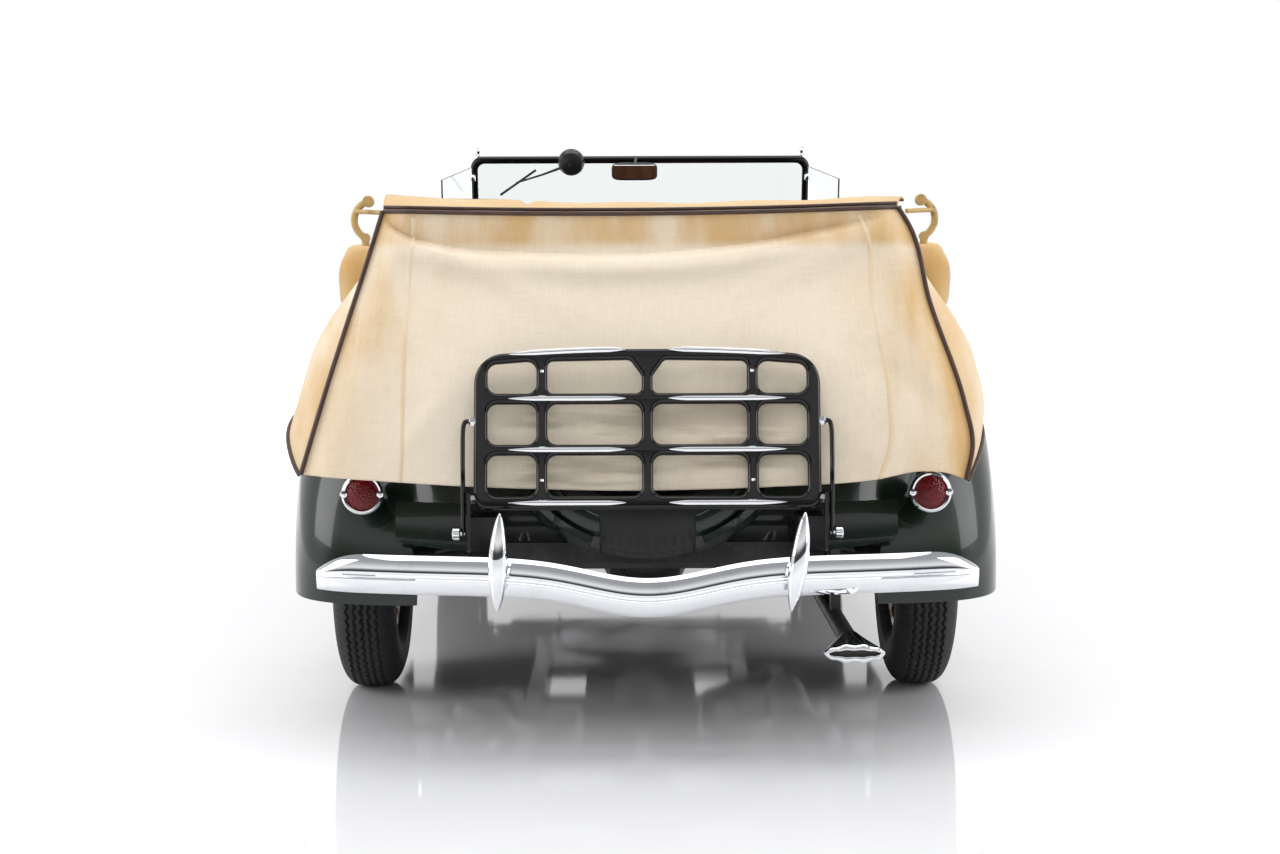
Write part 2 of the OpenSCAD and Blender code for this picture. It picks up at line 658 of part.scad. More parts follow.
module running_boards() {
    color(black) placed() pair() {
        box([board_in, board_rear_y, board_z], [board_in + board_w, board_front_y, board_z + board_t]);
        box([board_in - 5, board_rear_y, board_z + board_t - 1],
            [board_in + 1, board_front_y - 200, door_low_z - 7]);
        for (y = [board_rear_y + 192, (board_rear_y + board_front_y) / 2, board_front_y - 234])
            across(y - 20, 40, [[rail_out, 470], [rail_out, 432], [rail_out + 50, board_z - 26],
                [fender_out - 50, board_z - 14], [fender_out - 50, board_z], [rail_out + 80, board_z]]);
    }
}

module shield_frame_2d() {
    difference() {
        polygon(rounded(shield_w, shield_h, 40, 6));
        translate([0, 24]) polygon(rounded(shield_w - 48, shield_h - 48, 24, 6));
    }
}

module windshield_frame() {
    color(black) placed() translate([0, shield_y, shield_z]) rotate([shield_lean, 0, 0]) {
        difference() {
            translate([0, 11, -30]) rotate([90, 0, 0]) linear_extrude(22) shield_frame_2d();
            pair() translate([shield_w / 2 - 21, 0, 0]) rotate([0, 90, 0]) cylinder(r = 8.4, h = 40);
        }
        translate([-200, -9, shield_h - 46]) rotate([90, 0, 0]) cylinder(r = 45, h = 40);
        box([-12, -62, shield_h - 70], [12, -8, shield_h - 45]);
        box([-76, -72, shield_h - 95], [76, -60, shield_h - 40]);
        pair() for (z = [60, 240]) box([shield_w / 2 - 12, -40, z], [shield_w / 2 + 6, -10, z + 24]);
    }
}

module windshield_glass() {
    color(glass) placed() translate([0, shield_y, shield_z]) rotate([shield_lean, 0, 0]) {
        translate([0, 3, -30]) rotate([90, 0, 0]) linear_extrude(6) translate([0, 24.4])
            polygon(rounded(shield_w - 48.8, shield_h - 48.8, 23.6, 6));
        pair() translate([shield_w / 2 - 3, -40, 40]) rotate([0, 0, 25])
            box([-3, -200, 0], [3, -2, 250]);
    }
}

column_top = [-330, cowl_y - 540, 1050];
column_tip_r = 9;
module steering_column() {
    color(black) placed() {
        bar(column_top, column_top + [0, 498, -400], 19);
        bar(column_top + [0, 12, -400 / 498 * 12], column_top - [0, 28, -400 / 498 * 28], column_tip_r);
    }
}

column_tilt = atan2(400, 498);
module steering_wheel() {
    color(black) placed() translate(column_top) rotate([90 - column_tilt, 0, 0]) {
        rotate_extrude() translate([212, 40]) circle(r = 12);
        difference() {
            translate([0, 0, 6]) cylinder(r = 34, h = 46);
            cylinder(r = column_tip_r + 0.3, h = 40);
        }
        for (a = [90, 210, 330]) rotate([0, 0, a]) translate([24, 0, 34]) rotate([0, 90, 0])
            cylinder(r = 7, h = 182);
    }
}

// padded bench: rounded outline in the Y-Z plane drawn out across the cabin
module bench(half_width, pts) {
    along(-half_width, 2 * half_width, pts);
}

module front_seat() {
    color(leather) placed() {
        bench(560, [[720, 640], [1230, 640], [1245, 780], [1225, 830], [1190, 842], [740, 800]]);
        bench(560, [[640, 655], [719, 660], [735, 820], [700, 1150], [670, 1178], [630, 1178], [610, 1150]]);
        for (s = [-1, 1]) box([s * 520 - 30, 660, floor_top_z], [s * 520 + 30, 1200, 661]);
    }
}

module rear_seat() {
    color(leather) placed() {
        bench(wheelhouse_in - 36, [[-320, 640], [190, 640], [205, 790], [185, 840], [150, 852], [-300, 806]]);
        bench(wheelhouse_in - 81, [[-380, 660], [-321, 650], [-300, 830], [-390, 1150], [-425, 1172],
            [-470, 1165], [-490, 1130]]);
        for (s = [-1, 1]) translate([s * (wheelhouse_in - 96), 0, 0])
            box([-30, -360, floor_top_z], [30, 160, 661]);
    }
}

// cover of the folded top: height share, half width and rear depth of each level
boot_rows = [
    [-0.004, 560, -520], [0, 636, -768], [0.025, 645, -784], [0.08, 652, -782], [0.15, 653, -770],
    [0.26, 668, -802], [0.38, 690, -832], [0.5, 716, -862], [0.64, 748, -896], [0.82, 783, -926],
    [1, 808, -950]];
boot_share = 0;
boot_half = 1;
boot_depth = 2;
function boot_pt(row, q) =
    let (side = clip((q - 0.55) / 0.45), a = 90 * clip(q / 0.55),
        hem = 622 + 288 * pow(side, 0.8), yc = mix(row[boot_depth], -420, 0.55),
        x0 = row[boot_half] * pow(max(0, sin(a)), 0.5), w = mix(x0, min(x0, 716), side),
        y = q < 0.55 ? yc + (row[boot_depth] - yc) * pow(max(0, cos(a)), 0.5) : mix(yc, -420, side))
    [w, y, mix(boot_top_z, hem, row[boot_share])];

module top_cover() {
    n = 13;
    half = [for (row = boot_rows) [for (i = [0 : n]) boot_pt(row, i / n)]];
    grid = [for (h = half) concat([for (i = [n : -1 : 1]) [-h[i][0], h[i][1], h[i][2]]], h)];
    color(canvas) placed() sheet(grid, inset(grid, 10));
}

pad_rear_y = -415;
pad_front_y = -155;
pad_top_z = belt_z + 85;

module top_stack() {
    color(tan) placed() {
        along(-520, 1040, [[-470, belt_z + 70], [-520, belt_z + 0.3], [-598, belt_z + 0.3],
            [-606, belt_z + 72], [-706, belt_z + 76], [-720, belt_z + 120], [-696, belt_z + 171],
            [-500, belt_z + 171], [-465, belt_z + 130]]);
        pair() across(pad_rear_y, pad_front_y - pad_rear_y, [[655, belt_z + 0.3], [693, belt_z + 0.3],
            [704, belt_z - 118], [738, belt_z - 130], [770, belt_z - 96], [784, belt_z - 20],
            [780, belt_z + 52], [762, pad_top_z - 6], [735, pad_top_z], [690, pad_top_z],
            [664, belt_z + 60]]);
    }
}

// hooked arm of the folded bows, on the side cloth, with its rod
function hook_arc(r, z, steps) = [for (i = steps) let (a = -66 + 141 * i / 10)
    [690 + r * cos(a), z + r * sin(a)]];

module top_irons() {
    iron_y = pad_rear_y + 10;
    hook_z = pad_top_z + 62;
    color(tan) placed() pair() {
        across(iron_y, 14, concat(hook_arc(58, hook_z, [0 : 10]), hook_arc(40, hook_z, [10 : -1 : 0])));
        box([702, iron_y, pad_top_z + 0.3], [720, iron_y + 14, hook_z - 44]);
        bar([738, iron_y + 7, hook_z + 22], [662, iron_y - 30, hook_z + 18], 6);
    }
}

spare_y = tail_y(spare_z) - spare_off / cos(tail_lean);

module on_spare() {
    placed() translate([0, spare_y, spare_z]) rotate([90 - tail_lean, 0, 0]) children();
}

tyre_profile = [[-46, 205], [-50, 216.5], [-57, 220], [-75, 242], [-81, 275], [-78, 308], [-67, 333],
    [-54, 347], [-40, 354], [-20, 356], [20, 356], [40, 354], [54, 347], [67, 333], [78, 308], [81, 275],
    [75, 242], [57, 220], [50, 216.5], [46, 205]];
profile_off = 0;
profile_r = 1;

module tyre_ring() {
    rotate_extrude($fn = 96) polygon([for (p = tyre_profile)
        [p[profile_r] * tyre_r / 356 + (p[profile_r] < 217 ? seat_gap : 0), p[profile_off] * tyre_w / 162]]);
}

module spare_tyre() {
    color(rubber) on_spare() tyre_ring();
}

module spare_wheel() {
    color(body_col) on_spare() {
        rotate_extrude() polygon([[0, -30], [60, -30], [60, 0], [130, 10], [174, -6], [174, -20], [200, -32],
            [200, -50], [211, -54], [216, -54], [216, -50], [205, -46], [205, -30], [181, -18], [181, 18],
            [205, 30], [205, 46], [216, 50], [216, 54], [211, 54], [200, 50], [200, 32], [174, 20], [174, 8],
            [128, 24], [95, 34], [0, 34]]);
        translate([0, 0, 0.3 - spare_off]) cylinder(r = 58, h = spare_off);
        rotate([0, 0, 292]) rotate_extrude(angle = 316, $fn = 96) polygon([[tyre_r + 0.4, -74],
            [tyre_r + 5, -74], [tyre_r + 5, 78], [346, 86], [343, 82], [tyre_r + 0.4, 75]]);
    }
}

// luggage rack in its own plane, standing on its lower bar
rack_bar = 26;
rack_cols = [-403, -245, 0, 245, 403];
rack_rows = [0, 121, 241, 362];
module rack_window(x0, x1, z0, z1) {
    translate([(x0 + x1) / 2, z0]) polygon(rounded(x1 - x0, z1 - z0, 22, 5));
}

rack_low_r = 34;
rack_top_r = 70;
rack_crown = 14;

function arc(cx, cz, r, a0, n) = [for (i = [0 : n]) let (a = a0 + 90 * i / n)
    [cx + r * cos(a), cz + r * sin(a)]];
function rack_outline() = let (w = rack_w / 2, top = rack_h - rack_crown, flat = w - rack_top_r) concat(
    arc(w - rack_low_r, rack_low_r - 6, rack_low_r, -90, 6),
    arc(flat, top - rack_top_r, rack_top_r, 0, 8),
    [for (i = [1 : 9]) let (u = 1 - i / 5) [flat * u, top + rack_crown * (1 - u * u)]],
    arc(-flat, top - rack_top_r, rack_top_r, 90, 8),
    arc(rack_low_r - w, rack_low_r - 6, rack_low_r, 180, 6));

module rack_2d() {
    s = rack_w / 806;
    k = rack_h / 374;
    difference() {
        polygon(rack_outline());
        for (i = [0 : 3]) for (j = [0 : 2])
            rack_window(rack_cols[i] * s + (i == 0 ? rack_bar + 6 : rack_bar / 2),
                rack_cols[i + 1] * s - (i == 3 ? rack_bar + 6 : rack_bar / 2),
                rack_rows[j] * k + rack_bar, rack_rows[j + 1] * k - (j < 2 ? 0 : i == 0 || i == 3 ? 26 : 16));
    }
    translate([0, rack_h]) polygon([[40, -27], [-40, -27], [-13, -66], [13, -66]]);
}

stay_x = rack_w / 2 + 24;

module luggage_rack() {
    color(black) placed() translate([0, rack_hinge_y, rack_hinge_z]) {
        rotate([-rack_lean, 0, 0]) difference() {
            translate([0, 12, -20]) rotate([90, 0, 0]) linear_extrude(24) rack_2d();
            pair() translate([rack_w / 2 - 24, 0, 0]) rotate([0, 90, 0])
                cylinder(r = rack_pin_r + 0.3, h = 40);
        }
        pair() {
            bar([rack_w / 2 - 4, 38, 178], [stay_x, 38, 178], 6);
            bar([stay_x, 38, 182], [stay_x, 0, 80], 5);
            bar([stay_x, 0, 84], [stay_x, 0, -86], 5);
            bar([stay_x - 4, 0, -80], [stay_x + 26, 0, -80], 6);
            bar([stay_x + 26, 0, -80], [stay_x + 34, 0, -80], 17);
        }
    }
}

module rack_brackets() {
    color(black) placed() pair() translate([0, rack_hinge_y, 0]) {
        box([rack_w / 2 + 6, -16, 470], [rack_w / 2 + 14, 16, rack_hinge_z + 16]);
        translate([rack_w / 2 - 18, 0, rack_hinge_z]) rotate([0, 90, 0]) cylinder(r = rack_pin_r, h = 26);
    }
}

// bumper blade: swept bow with a bulging face, facing -Y
module blade(half_len, bow, dip) {
    nu = 26;
    nt = 6;
    grid = [for (i = [0 : nu]) let (u = 2 * i / nu - 1, x = half_len * u,
        taper = 1 - 0.75 * pow(max(0, abs(u) - 0.9) / 0.1, 2),
        zc = -dip * exp(-pow(x / 190, 2)), y = bow * pow(abs(u), 2.6))
        [for (j = [0 : nt]) let (t = 2 * j / nt - 1)
            [x, y - 20 * (1 - t * t), zc + blade_h / 2 * (t > 0 ? t * taper : t)]]];
    sheet(grid, inset(grid, 6));
}

module guard(h) {
    translate([0, 0, -h / 2]) rotate_extrude() polygon([[0, 0], [9, 0], [16, h * 0.08], [22, h * 0.3],
        [23, h * 0.5], [22, h * 0.7], [16, h * 0.92], [9, h], [0, h]]);
}

module rear_bumper() {
    color(chrome) placed() translate([0, rear_blade_y, 437]) {
        blade(770, 120, blade_dip);
        pair() translate([340, -25, 36]) guard(226);
    }
}

module front_bumper() {
    color(chrome) placed() translate([0, front_blade_y, 437]) mirror([0, 1, 0]) {
        blade(790, 90, 40);
        pair() translate([340, -25, 20]) guard(230);
    }
}

module fuel_tank() {
    color(black) placed() {
        along(-330, 660, [[-470, 405], [-690, 405], [-730, 440], [-730, 530], [-700, 548], [-490, 548],
            [-460, 520], [-460, 430]]);
        for (y = [-520, -670]) box([-rail_in, y - 15, 470], [rail_in, y + 15, 500]);
    }
}

module exhaust() {
    color(steel) placed() {
        bar([469, -1000, 269], [469, 1700, 269], 22);
        bar([469, 640, 269], [469, 1240, 269], 68);
        bar([469, 1690, 269], [250, 2150, 440], 22);
        bar([250, 2150, 430], [250, 2150, 560], 24);
        hull() {
            translate([469, -990, 269]) rotate([90, 0, 0]) cylinder(r = 25, h = 8);
            translate([469, -1085, 262]) scale([1, 1, 0.3]) rotate([90, 0, 0]) cylinder(r = 66, h = 5);
        }
        for (y = [-600, 1450]) {
            box([rail_out, y - 15, 440], [481, y + 15, 452]);
            box([457, y - 15, 270], [481, y + 15, 445]);
        }
    }
}

module wheel_disc() {
    b = spindle_r + hub_gap;
    rotate_extrude($fn = 72) polygon([[b, -42], [40, -42], [40, -12], [148, -12], [148, -50], [158, -50],
        [158, -2], [62, -2], [62, 20], [92, 26], [128, 16], [174, 0], [174, -20], [200, -32], [200, -50],
        [211, -54], [216, -54], [216, -50], [205, -46], [205, -30], [181, -18], [181, 18], [205, 30],
        [205, 46], [216, 50], [216, 54], [211, 54], [200, 50], [200, 32], [174, 20], [174, 8], [130, 24],
        [95, 34], [95, 40], [75, 54], [40, 63], [0, 66], [0, 30], [b, 30]]);
}

module at_wheel(front, right) {
    s = right ? 1 : -1;
    placed() translate([s * (front ? front_track : rear_track) / 2, front ? wheelbase : 0, axle_z])
        mirror([right ? 0 : 1, 0, 0]) rotate([0, 90, 0]) children();
}

module wheel_front_left() {
    color(tan) at_wheel(true, false) wheel_disc();
}

module wheel_front_right() {
    color(tan) at_wheel(true, true) wheel_disc();
}

module wheel_rear_left() {
    color(tan) at_wheel(false, false) wheel_disc();
}

module wheel_rear_right() {
    color(tan) at_wheel(false, true) wheel_disc();
}

module tyre_front_left() {
    color(rubber) at_wheel(true, false) tyre_ring();
}

module tyre_front_right() {
    color(rubber) at_wheel(true, true) tyre_ring();
}

module tyre_rear_left() {
    color(rubber) at_wheel(false, false) tyre_ring();
}

module tyre_rear_right() {
    color(rubber) at_wheel(false, true) tyre_ring();
}

// right-hand knuckle about its kingpin
module knuckle() {
    translate([kp_x, wheelbase, axle_z]) {
        translate([0, 0, -86]) cylinder(r = kingpin_r, h = 172);
        box([30, -30, -88], [47, 30, 88]);
        box([0, -18, 46], [31, 18, 88]);
        box([0, -18, -88], [31, 18, -46]);
        bar([40, 0, 0], [kingpin_in + 25, 0, 0], spindle_r);
        translate([kingpin_in - 64, 0, 0]) rotate([0, 90, 0]) cylinder(r = 150, h = 8);
        box([-12, -steer_arm - 12, -72], [12, -17, -56]);
        translate([0, -steer_arm, -104]) cylinder(r = 7, h = 40);
    }
}

module knuckle_right() {
    color(black) placed() knuckle();
}

module knuckle_left() {
    color(black) placed() mirror([1, 0, 0]) knuckle();
}

module tie_rod() {
    color(black) placed() translate([0, wheelbase - steer_arm, axle_z - 90]) difference() {
        union() {
            bar([-kp_x, 0, 0], [kp_x, 0, 0], 11);
            pair() translate([kp_x, 0, -12]) cylinder(r = 17, h = 24);
        }
        pair() translate([kp_x, 0, -20]) cylinder(r = 7.4, h = 40);
    }
}

frame();
jack_pads();
front_axle();
rear_axle();
leaf_springs();
engine();
grille();
grille_shell();
hood_aprons();
cowl();
underbody();
rear_body();
door_posts();
door_front_left();
door_front_right();
door_rear_left();
door_rear_right();
hood_left();
hood_right();
front_fenders();
headlamps();
rear_fenders();
tail_lamps();
tail_lenses();
running_boards();
windshield_frame();
windshield_glass();
steering_column();
steering_wheel();
front_seat();
rear_seat();
top_cover();
top_stack();
top_irons();
spare_tyre();
spare_wheel();
luggage_rack();
rack_brackets();
rear_bumper();
front_bumper();
fuel_tank();
exhaust();
wheel_front_left();
wheel_front_right();
wheel_rear_left();
wheel_rear_right();
tyre_front_left();
tyre_front_right();
tyre_rear_left();
tyre_rear_right();
knuckle_left();
knuckle_right();
tie_rod();
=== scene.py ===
"""Looks of an open touring car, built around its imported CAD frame.

Shapes are worked out in the drawing's own millimetres: x to the right, y forward from the rear axle,
z up from the ground. They become metres in the shared frame when a piece is made.
"""
import json
import math

import bmesh
import bpy
import numpy as np
from mathutils import Matrix, Vector


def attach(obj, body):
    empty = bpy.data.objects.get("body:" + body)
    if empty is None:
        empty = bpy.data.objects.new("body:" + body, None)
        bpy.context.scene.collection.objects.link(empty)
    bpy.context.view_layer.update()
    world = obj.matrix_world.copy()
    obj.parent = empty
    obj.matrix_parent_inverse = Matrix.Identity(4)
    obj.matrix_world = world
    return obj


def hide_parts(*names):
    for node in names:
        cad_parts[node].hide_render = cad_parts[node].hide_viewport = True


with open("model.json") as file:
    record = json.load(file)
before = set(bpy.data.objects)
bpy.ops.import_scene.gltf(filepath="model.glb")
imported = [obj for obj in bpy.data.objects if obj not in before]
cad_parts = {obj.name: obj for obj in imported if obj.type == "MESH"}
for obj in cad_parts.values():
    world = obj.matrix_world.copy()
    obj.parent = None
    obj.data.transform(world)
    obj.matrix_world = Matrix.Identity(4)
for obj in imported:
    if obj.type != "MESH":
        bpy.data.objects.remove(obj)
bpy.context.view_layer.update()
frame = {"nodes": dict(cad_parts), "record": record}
NODES = frame["nodes"]
REAR_AXLE_Y = -1202.5
MM = 0.001
DENSE = 1


# Curves and grids

def mix(a, b, t):
    """Straight line from a (t 0) to b (t 1)."""
    return a + (b - a) * t


def ease(t):
    """Smooth step from 0 to 1."""
    t = np.clip(t, 0, 1)
    return t * t * (3 - 2 * t)


def wave_ramp(t):
    """Half a cosine wave from 0 to 1."""
    return 0.5 - 0.5 * np.cos(np.pi * np.clip(t, 0, 1))


def through(t, knots, values):
    """Smooth curve through a short table: cubic pieces with slopes taken from the chords on both sides."""
    k, v = np.asarray(knots, float), np.asarray(values, float)
    slope = np.gradient(v, k)
    t = np.clip(np.asarray(t, float), k[0], k[-1])
    i = np.clip(np.searchsorted(k, t, side="right") - 1, 0, len(k) - 2)
    h = k[i + 1] - k[i]
    s = (t - k[i]) / h
    return (v[i] * (1 + 2 * s) * (1 - s) ** 2 + slope[i] * h * s * (1 - s) ** 2
            + v[i + 1] * s * s * (3 - 2 * s) + slope[i + 1] * h * s * s * (s - 1))


def bump(t, middle, width):
    """Bell curve of height 1."""
    return np.exp(-((t - middle) / width) ** 2)


def bend(w, power):
    """Signed power of a sine or cosine: a power below 1 squares off a round."""
    return np.sign(w) * np.abs(w) ** power


def points(*xyz):
    """Grid of points from three arrays that broadcast together."""
    return np.stack(np.broadcast_arrays(*xyz), -1).astype(float)


def params(rows, cols, r0=0.0, r1=1.0, c0=0.0, c1=1.0):
    """Row and column parameters of a grid."""
    return np.linspace(r0, r1, rows)[:, None], np.linspace(c0, c1, cols)[None, :]


def unit(v):
    """Vectors brought to length 1."""
    return v / np.maximum(np.linalg.norm(v, axis=-1, keepdims=True), 1e-9)


def normals(grid):
    """Unit normals of a grid, from the cross product of its two directions."""
    return unit(np.cross(np.gradient(grid, axis=0), np.gradient(grid, axis=1)))


def axes(direction):
    """Two unit directions square to an axis, and the axis."""
    a = np.asarray(direction, float) / np.linalg.norm(direction)
    side = np.array([0.0, 0.0, 1.0]) if abs(a[2]) < 0.9 else np.array([0.0, 1.0, 0.0])
    b = np.cross(side, a)
    b /= np.linalg.norm(b)
    return b, np.cross(a, b), a


def to_frame(p):
    """From drawing millimetres to metres in the shared frame."""
    return (p + (0, REAR_AXLE_Y, 0)) * MM


def read(mesh, what="co"):
    """Places or normals of all the points of a mesh, one row each."""
    rows = np.empty(len(mesh.vertices) * 3, np.float32)
    mesh.vertices.foreach_get(what, rows)
    return rows.reshape(-1, 3)


def write(mesh, p):
    """Puts all the points of a mesh at new places, in metres."""
    mesh.vertices.foreach_set("co", p.astype(np.float32).ravel())
    mesh.update()


class Shape:
    """Points in drawing millimetres, gathered from grids, before they become one mesh."""

    def __init__(self):
        self.points = []
        self.faces = []
        self.uvs = []
        self.count = 0

    def grid(self, p, loop_rows=False, loop_cols=False, uv=None):
        """Quads between neighbouring points of a grid."""
        rows, cols = p.shape[:2]
        r = np.arange(rows if loop_rows else rows - 1)[:, None]
        c = np.arange(cols if loop_cols else cols - 1)[None, :]
        r2, c2 = (r + 1) % rows, (c + 1) % cols
        quads = np.stack([r * cols + c, r * cols + c2, r2 * cols + c2, r2 * cols + c], -1)
        self.faces.append(quads.reshape(-1, 4) + self.count)
        self.points.append(p.reshape(-1, 3))
        self.uvs.append(np.zeros((rows * cols, 2)) if uv is None else uv.reshape(-1, 2))
        self.count += rows * cols
        return self

    def slab(self, p, q, uv=None):
        """Closed slab between two grids of one size, with its four rims."""
        self.grid(p, uv=uv)
        self.grid(q, uv=uv)
        for a, b in ((p[0], q[0]), (p[-1], q[-1]), (p[:, 0], q[:, 0]), (p[:, -1], q[:, -1])):
            self.grid(np.stack([a, b]))
        return self

    def wall(self, p, thick, uv=None):
        """Closed wall: the slab between a grid and its copy moved along the normals by -thick."""
        return self.slab(p, p - thick * normals(p), uv)

    def add(self, other):
        """Takes in all the grids of another shape."""
        self.points += other.points
        self.uvs += other.uvs
        self.faces += [f + self.count for f in other.faces]
        self.count += other.count
        return self

    def tube(self, path, radius, sides=12, up=(0, 0, 1), loop=False, flat=1.0):
        """Round profile carried along a path, with closed ends; flat squeezes it along up."""
        path = np.asarray(path, float)
        along = np.roll(path, -1, 0) - np.roll(path, 1, 0) if loop else np.gradient(path, axis=0)
        along = unit(along)
        side = unit(np.cross(along, np.broadcast_to(np.asarray(up, float), along.shape)))
        lift = np.cross(side, along) * flat
        radius = np.broadcast_to(np.asarray(radius, float), len(path))
        if not loop:
            path, side, lift = (np.concatenate([a[:1], a, a[-1:]]) for a in (path, side, lift))
            radius = np.concatenate([[0], radius, [0]])
        a = np.linspace(0, 2 * np.pi, sides, endpoint=False)[None, :, None]
        around = np.cos(a) * side[:, None] + np.sin(a) * lift[:, None]
        ring = path[:, None] + radius[:, None, None] * around
        return self.grid(ring, loop_rows=loop, loop_cols=True)

    def turned(self, profile, origin, axis, sides=48):
        """Profile of radius and height turned round an axis."""
        b, c, a = axes(axis)
        profile = np.asarray(profile, float)
        t = np.linspace(0, 2 * np.pi, sides, endpoint=False)[None, :, None]
        ring = profile[:, 0, None, None] * (np.cos(t) * b + np.sin(t) * c)
        return self.grid(np.asarray(origin, float) + ring + profile[:, 1, None, None] * a, loop_cols=True)

    def pad(self, low, high, power=4.0, rows=12, cols=28):
        """Rounded block between two corners: a superellipsoid."""
        low, high = np.asarray(low, float), np.asarray(high, float)
        v, u = params(rows, cols, -np.pi / 2, np.pi / 2, 0, 2 * np.pi * (1 - 1 / cols))
        square = 2 / power
        belt = bend(np.cos(v), square)
        p = points(belt * bend(np.cos(u), square), belt * bend(np.sin(u), square), bend(np.sin(v), square))
        return self.grid((low + high) / 2 + p * (high - low) / 2, loop_cols=True)

    def block(self, low, high, edge=2.0):
        """Box with its edges taken off by a small chamfer."""
        low, high = np.asarray(low, float), np.asarray(high, float)
        corners = np.array([(0, 0), (1, 0), (1, 1), (0, 1)])
        levels = [(edge, low[2]), (0, low[2] + edge), (0, high[2] - edge), (edge, high[2])]
        rows = [points(*mix(low[:2] + d, high[:2] - d, corners).T, z) for d, z in levels]
        middle = [np.tile(row.mean(0), (4, 1)) for row in (rows[0], rows[-1])]
        return self.grid(np.stack([middle[0], *rows, middle[1]]), loop_cols=True)

    def both_sides(self):
        """Adds the mirror image across the car's middle."""
        self.points += [p * (-1, 1, 1) for p in self.points]
        self.uvs += list(self.uvs)
        self.faces += [f[:, ::-1] + self.count for f in self.faces]
        self.count *= 2
        return self

    def moved(self, change):
        """Every point passed through a function."""
        self.points = [change(p) for p in self.points]
        return self

    def handed(self, side):
        """Leaves a right-hand shape as it is (side 1) or mirrors it to the left (side -1)."""
        return self.moved(lambda p: p * (side, 1, 1))

    def make(self, name, material, body="chassis", slot=None, stands_for=(), sharp=35.0, closed=True):
        """One mesh object: doubles merged, normals outwards where it is closed, smooth but for edges
        sharper than an angle."""
        p = to_frame(np.concatenate(self.points))
        f = np.concatenate(self.faces)
        mesh = bpy.data.meshes.new(name)
        mesh.vertices.add(len(p))
        mesh.vertices.foreach_set("co", p.astype(np.float32).ravel())
        mesh.loops.add(f.size)
        mesh.loops.foreach_set("vertex_index", f.astype(np.int32).ravel())
        mesh.polygons.add(len(f))
        mesh.polygons.foreach_set("loop_start", np.arange(0, f.size, 4, dtype=np.int32))
        mesh.update(calc_edges=True)
        uv = mesh.uv_layers.new(name="UVMap")
        uv.data.foreach_set("uv", np.concatenate(self.uvs)[f.ravel()].astype(np.float32).ravel())
        bm = bmesh.new()
        bm.from_mesh(mesh)
        bmesh.ops.remove_doubles(bm, verts=bm.verts, dist=2e-6)
        bmesh.ops.dissolve_degenerate(bm, edges=bm.edges, dist=1e-7)
        if closed:
            bmesh.ops.recalc_face_normals(bm, faces=bm.faces)
        bm.to_mesh(mesh)
        bm.free()
        return dress(bpy.data.objects.new(name, mesh), material, body, stands_for, sharp)


def dress(obj, material, body, stands_for=(), sharp=35.0):
    """Links a new object, gives it its finish and lets it ride on a body."""
    if obj.name not in bpy.context.scene.objects:
        bpy.context.scene.collection.objects.link(obj)
    obj.data.materials.clear()
    obj.data.materials.append(material)
    obj.data.shade_smooth()
    obj.data.set_sharp_from_angle(angle=math.radians(sharp))
    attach(obj, body)
    if stands_for:
        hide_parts(*stands_for)
    return obj


# Finishes

class Tree:
    """Short hand for a node tree: node() makes a node, and its words set settings, values or links."""

    def __init__(self, tree):
        self.tree = tree

    def node(self, kind, settings=None, **sockets):
        """New node. A socket goes by its label, or by _ and its number, and takes a value or a link."""
        made = self.tree.nodes.new(kind)
        for key, value in (settings or {}).items():
            setattr(made, key, value)
        for key, value in sockets.items():
            socket = made.inputs[int(key[1:])] if key[0] == "_" else made.inputs[key.replace("_", " ")]
            if isinstance(value, bpy.types.NodeSocket):
                self.feed(value, socket)
            else:
                socket.default_value = value
        return made

    def feed(self, value, socket):
        """Link from an output to an input."""
        self.tree.links.new(value, socket)

    def math(self, operation, a, b=0.0):
        """One operation on two numbers."""
        return self.node("ShaderNodeMath", {"operation": operation}, _0=a, _1=b).outputs[0]

    def ramp(self, value, low, high, to_low=0.0, to_high=1.0):
        """Smooth step of a value between two limits."""
        return self.node("ShaderNodeMapRange", {"interpolation_type": "SMOOTHSTEP"}, Value=value,
                         From_Min=low, From_Max=high, To_Min=to_low, To_Max=to_high).outputs[0]

    def blend(self, mask, a, b):
        """Colour a where the mask is 0 and b where it is 1."""
        return self.node("ShaderNodeMix", {"data_type": "RGBA"}, _0=mask, _6=a, _7=b).outputs[2]

    def noise(self, vector, scale, detail=4.0):
        """Soft noise between 0 and 1."""
        return self.node("ShaderNodeTexNoise", Vector=vector, Scale=scale, Detail=detail).outputs["Fac"]

    def streaks(self, vector, stretch, detail):
        """Noise on coordinates times three factors, which draws it out along the axis of the smallest."""
        drawn = self.node("ShaderNodeVectorMath", {"operation": "MULTIPLY"}, _0=vector,
                          _1=stretch).outputs[0]
        return self.noise(drawn, 1.0, detail)

    def relief(self, height, strength, distance):
        """Normal of a surface that is lifted by a height."""
        return self.node("ShaderNodeBump", Strength=strength, Distance=distance, Height=height).outputs[0]

    def group(self, tree, **sockets):
        """Shared effect with values of its own."""
        return self.node("ShaderNodeGroup", {"node_tree": tree}, **sockets)


def effect(name, inputs, outputs):
    """Empty shader node group with named float or vector inputs and float outputs."""
    tree = bpy.data.node_groups.new(name, "ShaderNodeTree")
    for label, value in inputs.items():
        kind = "NodeSocketVector" if value is None else "NodeSocketFloat"
        socket = tree.interface.new_socket(name=label, in_out="INPUT", socket_type=kind)
        if value is not None:
            socket.default_value = value
    for label in outputs:
        tree.interface.new_socket(name=label, in_out="OUTPUT", socket_type="NodeSocketFloat")
    t = Tree(tree)
    return t, t.node("NodeGroupInput").outputs, t.node("NodeGroupOutput").inputs


